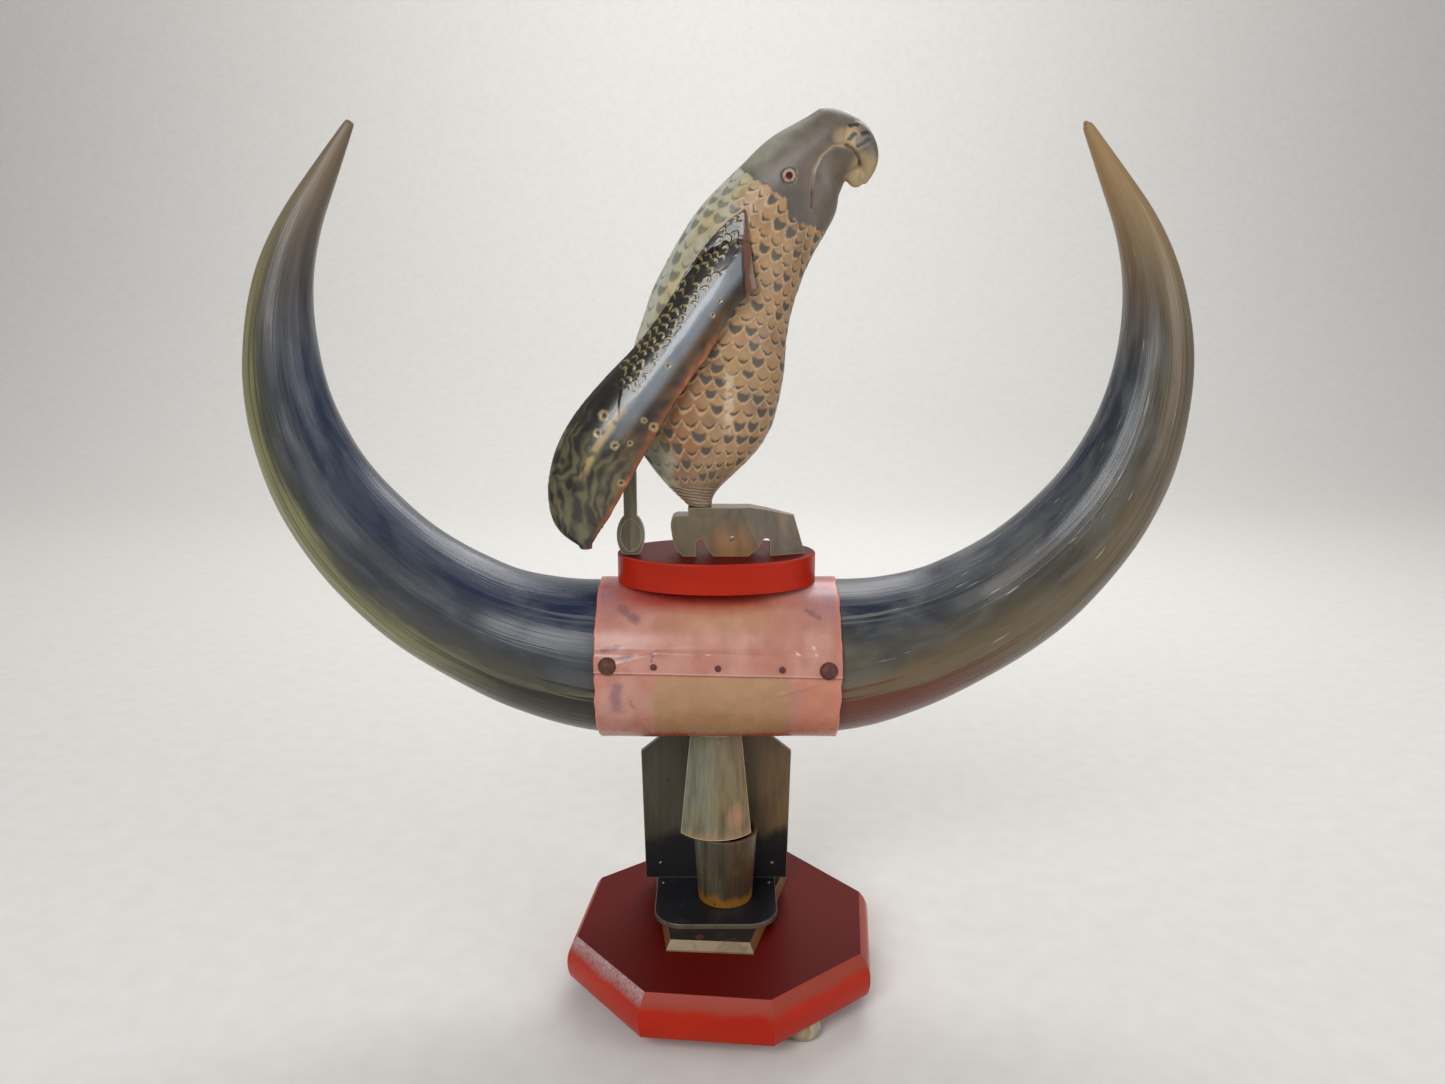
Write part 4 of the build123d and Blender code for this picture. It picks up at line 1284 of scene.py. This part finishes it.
    def lay_on(self, plate: Body, flank: BVHTree, outward: int) -> None:
        """Pushes a wing out of the flank, so that its shoulder lies against the body, and rounds its tip.

        Args:
            plate: the wing's mesh.
            flank: the body's surface.
            outward: side of the wing, as the sign of Y.
        """
        skin = BVHTree.FromBMesh(plate)
        end = self.wing.runs[-1]
        shoulder = self.foot + Vector(self.shoulder)
        inward = Vector((0, -outward, 0))
        for vert in plate.verts:
            local = vert.co - self.foot
            run, right, along = self.wing.read(local.x, local.z)
            narrow = max(0.5, sqrt(1 - min(1.0, max(0.0, run / end - 0.90) / 0.10) ** 2))
            shift = -right * (1 - narrow)
            spot = vert.co.lerp(shoulder, self.shoulder_draw)
            spot.y = self.foot.y + self.clear * outward
            below, above = flank.ray_cast(spot, inward)[0], skin.ray_cast(spot, inward)[0]
            vert.co += shift * Vector((along.y, 0.0, -along.x))
            vert.co.z += 0.45 * max(0.0, 0.128 - local.z) * ramp(local.x, 0.002, 0.026)
            if below and above:
                sunk = outward * (below.y - above.y) + self.proud
                vert.co.y += outward * (sunk + hypot(sunk, self.shoulder_blend)) / 2

    def wing_mark(self, place: Vector) -> tuple[float, Triple]:
        """Carving depth and paint of a point on a wing.

        Args:
            place: a point on a wing.

        Returns:
            Height in metres and colour.
        """
        local = place - self.foot
        run, right, _ = self.wing.read(local.x, local.z)
        flat = (local.x / MM, local.z / MM)
        run_mm, lower = run / MM, -right / MM
        half = along_line(self.wing_half, run_mm)
        grain = Vector((run * 9, right * 90, local.y * 50))
        fibre = noise.noise(grain) + 0.5 * noise.noise(3 * grain)
        brown = ramp(lower + 2 * fibre, 3, 9) * ramp(run_mm, 8, 25)
        # Painted highlight: a pale blue-grey streak along the middle of the wing
        highlight_line = -1.0 + 4.0 * ramp(run_mm, 10, 60) - 3.5 * ramp(run_mm, 112, 132)
        painted_highlight = ramp(abs(lower - highlight_line) + 1.6 * fibre, 8.5, 2.0) * ramp(run_mm + 8 * fibre, 160, 90)
        band = ramp(abs(lower + 14.0 - 0.05 * run_mm) + 1.5 * fibre, 9.5, 7.0)
        band *= ramp(run_mm + 6 * fibre, 100, 88)
        band *= ramp(flat[0], 22.5, 20.0)
        column, row = lower / 4.3 + 0.3 * rough(local, 9), run_mm / 4.6 + 0.5 * rough(local, 8, 5.0)
        height, across, cell = self.scale_at(column, row)
        arc = ramp(height + 0.3 * rough(local, 1.5), 0.42, 0.22) * ramp(abs(across), 0.46, 0.36)
        arc *= ramp(cell, -0.75, -0.6)
        edge = ramp(lower + 1.5 * fibre + 1.5 * rough(local, 9), half - 6.5, half - 2.0)
        edge *= ramp(run_mm, 12, 40)
        tip = ramp(run_mm + 8 * fibre, 104, 140)
        lines = sin(2 * pi * (lower / 5.6 + 1.7 * rough(local, 17, 12.0) + 0.5 * rough(local, 5, 15.0)))
        olive = mixed("#26221A", "#6A6343", ramp(0.6 * lines + 1.5 * rough(local, 7, 9.0), -0.8, 1.2))
        ridge = ramp(abs(lower + 1.5 + 2.5 * fibre), 3.4, 1.0)
        ridge *= ramp(run_mm, 96, 112) * ramp(run_mm, 156, 132)
        border = 21.0 + 0.06 * (150 - flat[1]) + 0.7 * rough(local, 7)
        colour = laid(
            mixed("#15110E", "#352D26", ramp(fibre, -0.1, 0.8)),
            ("#5B4024", 0.8 * brown * ramp(rough(local, 8, 14.0), -0.6, 0.3)),
            ("#929CA4", 0.6 * painted_highlight),
            ("#1C1711", 0.85 * band),
            ("#94824F", 0.85 * band * arc),
            ("#83421A", 0.9 * edge),
            ("#AD6C34", 0.6 * edge * ramp(rough(local, 5, 11.0), 0.0, 0.5)),
            (olive, 0.85 * tip * (1 - edge)),
            ("#B49B6C", 0.8 * ridge * ramp(rough(local, 4, 4.0), -0.5, 0.1)),
            ("#63422F", ramp(flat[0], border, border + 0.7)),
            ("#20140E", 0.8 * ramp(abs(flat[0] - border), 0.9, 0.4)),
        )
        height = -0.00025 * band * (1 - arc)
        for forward, up, radius in self.pits:
            apart = hypot(flat[0] - forward, flat[1] - up) + 0.5 * rough(local, 1.6, 3.0)
            if apart < 2 * radius:
                ring = ramp(abs(apart - 0.8 * radius), 0.5 * radius, 0.2 * radius)
                colour = mixed(colour, "#A39066", 0.7 * ring)
                colour = mixed(colour, "#14100C", ramp(apart, 0.5 * radius, 0.3 * radius))
                height -= 0.0006 * ramp(apart, 0.6 * radius, 0.3 * radius)
        return height, colour

    def build(self, nodes: dict[str, Piece]) -> None:
        """Carves the body and both wings and dresses the inlaid eyes.

        Args:
            nodes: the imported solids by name.
        """
        place = Matrix.Translation(self.foot + Vector(self.mandible_place))
        lean = Matrix.Rotation(radians(self.mandible_lean), 4, "Y")
        mandible = place @ lean @ Matrix.Diagonal((*self.mandible, 1.0))
        body = even_quads(nodes["bird_body"], cell_mm=0.80, smoothing=5, lumps=(mandible,))
        flank = BVHTree.FromBMesh(body)
        carve(body, self.body_mark, inside("bird_body"))
        sanded = Painted("carved_horn", 0.36, grain_mm=1.4, grain_depth=0.14, relief_mm=0.10).build()
        stand_for(to_object("carved_bird", body, sanded), "bird_body")
        waxed = Painted("glossy_black_horn", 0.22, grain_mm=3.0, grain_depth=0.10, relief_mm=0.02, coat=0.3)
        gloss = waxed.build()
        for name, outward in (("wing_near", -1), ("wing_far", 1)):
            plate = even_quads(nodes[name], cell_mm=0.62, smoothing=3)
            self.lay_on(plate, flank, outward)
            carve(plate, self.wing_mark, inside(name))
            stand_for(to_object(f"carved_{name}", plate, gloss), name)
        dress(nodes, Blotched("bone_ring", "#A08F86", "#7C4744", roughness=0.35), "eye_rings")
        dress(nodes, Blotched("garnet_inlay", "#4A0E0C", "#7A1D18", roughness=0.15), "eye_pupils")


@dataclass
class Pedestal:
    """Board, feet, horn plates, cup and rail under the head block, and the post inside them."""

    def build(self, nodes: dict[str, Piece]) -> None:
        """Dresses each piece in enamel, wood or its own cut of horn.

        Args:
            nodes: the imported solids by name.
        """
        low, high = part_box("back_plate")
        cup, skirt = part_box("cup")[0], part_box("skirt_plate")[0]
        middle = (low[0] + high[0]) / 2
        button = HornPlate(
            "pale_horn_button", "#A5A498", "#9C8458", "#B3B2A8", "#A5A498",
            foot_level=-0.1, foot_blur=0.01, centre=0.0, span=0.03, stretch=(160.0, 160.0, 60.0),
        )
        back = HornPlate(
            "scraped_back_plate", "#4A4433", "#6B5432", "#37332A", "#17171A",
            foot_level=low[2] + 0.026, foot_blur=0.018, centre=middle + 0.01, span=0.05, edge_highlight_share=0.7,
        )
        turned = HornPlate(
            "turned_cup", "#50513F", "#4E3119", "#2B281D", "#8A5C18",
            foot_level=cup[2] + 0.005, foot_blur=0.009, centre=middle + 0.004, span=0.03,
            stretch=(190.0, 190.0, 14.0), rim="#8C7A4E", edge_highlight_share=0.5, patch="#6E5A34", patch_cover=0.5,
        )
        bent = HornPlate(
            "bent_skirt_plate", "#757B68", "#80653E", "#5C5236", "#9A7A58",
            foot_level=skirt[2] + 0.001, foot_blur=0.012, centre=middle + 0.002, span=0.035,
            stretch=(110.0, 110.0, 9.0), rim="#D2CDB4", edge_highlight_share=0.9, patch="#8E7C52", patch_cover=0.45,
            spot="#B38663", spot_place=(middle + 0.012, skirt[1] + 0.006, skirt[2] + 0.013), spot_reach=0.008,
        )
        shelf = TurnedFaces("dark_shelf_horn", "#15161A", "#5E5346", "#4A4038", "#24262C", roughness=0.3)
        amber = TurnedFaces("amber_foot_horn", "#221C18", "#8A7350", "#6E4314", "#4A3A28")
        dress(nodes, Lacquer(), "base_board")
        dress(nodes, Lacquer("red_enamel_plinth", highlight_cover=0.12), "plinth", "back_rail")
        dress(nodes, button, "base_feet")
        dress(nodes, back, "back_plate")
        dress(nodes, turned, "cup")
        dress(nodes, bent, "skirt_plate")
        dress(nodes, shelf, "shelf_plate")
        dress(nodes, amber, "foot_plate")
        dress(nodes, PlanedWood(), "post")


@dataclass
class Perch:
    """Claw plate and tail prop that carry the bird, and the glow of thin horn round the plate's hole."""

    hole: Triple = (0.0345, 0.0, 0.004)

    def build(self, nodes: dict[str, Piece]) -> None:
        """Dresses both in pale horn.

        Args:
            nodes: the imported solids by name.
        """
        perch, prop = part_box("claw_plate")[0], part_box("tail_prop")[0]
        claw = HornPlate(
            "sanded_claw_horn", "#6A604C", "#5A4F43", "#83725C", "#8A6846",
            foot_level=perch[2] - 0.009, foot_blur=0.010, centre=0.012, span=0.08,
            stretch=(40.0, 40.0, 40.0), rim="#B98A5C", edge_highlight_share=0.75,
            spot="#9E7049", spot_place=tuple(Vector(perch) + Vector(self.hole)), spot_reach=0.015,
        )
        spoon = HornPlate(
            "pale_prop_horn", "#5E5744", "#7A7058", "#8B8569", "#5E5744",
            foot_level=prop[2] - 0.1, foot_blur=0.01, centre=-0.05, span=0.02,
            stretch=(160.0, 160.0, 30.0), rim="#C2B89A", edge_highlight_share=0.9,
        )
        dress(nodes, claw, "claw_plate")
        dress(nodes, spoon, "tail_prop")


@dataclass
class Studio:
    """Pale paper floor, soft lamps and the camera."""

    lamps: tuple[tuple[str, Triple, float, float, Triple], ...] = (
        ("key", (-0.62, -1.30, 1.12), 0.8, 15.0, (0, 0, 0.27)),
        ("fill", (1.25, -0.85, 0.75), 1.0, 7.0, (0, 0, 0.27)),
        ("rim", (0.35, 1.0, 1.35), 0.8, 8.0, (0, 0, 0.27)),
        ("backdrop", (0.0, 1.1, 2.4), 1.6, 45.0, (0, 2.9, 1.0)),
    )
    sky: str = "#E4E4E6"
    sky_strength: float = 0.38
    lens: float = 27.16
    eye: Triple = (0.0025, -0.614, 0.403)
    tilt: float = 78.0
    floor_half: float = 3.0
    wall: float = 4.0
    bend: float = 1.4

    def build(self) -> None:
        """Sets the camera in front and a little above the middle, then the lamps and the floor."""
        scene = bpy.context.scene
        scene.view_settings.view_transform = "Standard"
        camera = bpy.data.cameras.new("camera")
        camera.lens = self.lens
        camera.sensor_width = 36.0
        scene.camera = self._placed("camera", camera, self.eye)
        scene.camera.rotation_euler = (radians(self.tilt), 0.0, 0.0)
        for name, place, size, power, target in self.lamps:
            light = bpy.data.lights.new(name, "AREA")
            light.size = size
            light.energy = power
            lamp = self._placed(name, light, place)
            lamp.rotation_euler = (Vector(target) - lamp.location).to_track_quat("-Z", "Y").to_euler()
        scene.world = bpy.data.worlds.new("studio")
        scene.world.use_nodes = True
        sky = next(node for node in scene.world.node_tree.nodes if node.type == "BACKGROUND")
        sky.inputs["Color"].default_value = linear(self.sky)
        sky.inputs["Strength"].default_value = self.sky_strength
        self._floor()

    def _placed(self, name: str, data: bpy.types.ID, place: Triple) -> Piece:
        """Adds a camera or a lamp at its place.

        Args:
            name: its name.
            data: the camera or lamp data.
            place: where it stands.

        Returns:
            The object.
        """
        item = bpy.data.objects.new(name, data)
        item.location = place
        bpy.context.scene.collection.objects.link(item)
        return item

    def _floor(self) -> None:
        """Lays the floor, which bends up into a backdrop."""
        body = bmesh.new()
        bmesh.ops.create_grid(body, x_segments=1, y_segments=1, size=self.floor_half)
        back = [edge for edge in body.edges if all(vert.co.y > 0.9 * self.floor_half for vert in edge.verts)]
        made = bmesh.ops.extrude_edge_only(body, edges=back)["geom"]
        raised = [item for item in made if isinstance(item, bmesh.types.BMVert)]
        bmesh.ops.translate(body, vec=(0, 0, self.wall), verts=raised)
        bmesh.ops.bevel(
            body, geom=back, offset=self.bend, segments=24, profile=0.5, affect="EDGES", material=-1
        )
        recipe = Recipe("pale_paper")
        place = recipe.add("TexCoord", out="Object")
        fibre = recipe.add("TexNoise", {"Vector": place, "Scale": 60.0, "Detail": 3.0})
        tone = recipe.add("ValToRGB", {"Fac": fibre}, stops=((0.3, "#D9D7D2"), (0.7, "#DEDCD8")))
        paper = recipe.finish({"Base Color": tone, "Roughness": 0.9, "Specular IOR Level": 0.1})
        to_object("floor", body, paper)


def main() -> None:
    """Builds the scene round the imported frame."""
    logging.basicConfig(level=logging.INFO, format="%(name)s: %(message)s")
    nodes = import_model()["nodes"]
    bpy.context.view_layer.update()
    Studio().build()

    wrap_low, wrap_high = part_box("wrap_sheet")
    drum_y = 0.006
    centre = Vector((0.0, drum_y, wrap_high[2] - HeadBlock.radius))
    # The blue first stop of each horn's bands, on its inner side, is a painted reflection
    grey = HornSkin(
        "polished_grey_horn",
        ((0.10, "#13223E"), (0.38, "#2F343B"), (0.62, "#403F37"), (0.78, "#868357")),
        fibre="#2B2B18", wisp="#5C6068", glow="#6A684A", tip="#6F604A", root="#1B1A10",
        glowing=0.3, scratched=0.0,
    )
    brown = HornSkin(
        "polished_brown_horn",
        ((0.05, "#1B2438"), (0.28, "#3A3A38"), (0.52, "#5C5039"), (0.80, "#6A5E48")),
        fibre="#3A2A1A", wisp="#6E6F6C", glow="#80603A", tip="#94784F", root="#632A18",
        glowing=0.8, scratched=0.9,
    )
    Horn(Side.LEFT, grey).build(centre)
    Horn(Side.RIGHT, brown, chip=0.0035).build(centre)
    HeadBlock(wrap_high[0] - wrap_low[0], centre).build()
    Pedestal().build(nodes)
    Perch().build(nodes)

    tack = Blotched("browned_tack", "#4C261D", "#66372A", roughness=0.5)
    steel = Blotched("dull_steel", "#8B8781", "#5E5A55", roughness=0.34, metallic=1.0)
    dress(nodes, tack, "seam_tacks", "seam_nails", "foot_plate_screw")
    screws = ("foot_screws", "post_screw", "rail_screws", "plinth_screws")
    dress(nodes, steel, *screws, "shelf_pins", "back_plate_pins")
    dress(nodes, PlanedWood("planed_softwood_core"), "head_core", "claw_pegs")

    bird_low, bird_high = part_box("bird_body")
    perch_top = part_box("claw_plate")[1][2]
    foot_x = -0.009
    Bird(Vector((foot_x, (bird_low[1] + bird_high[1]) / 2, perch_top))).build(nodes)


if __name__ == "__main__":
    main()
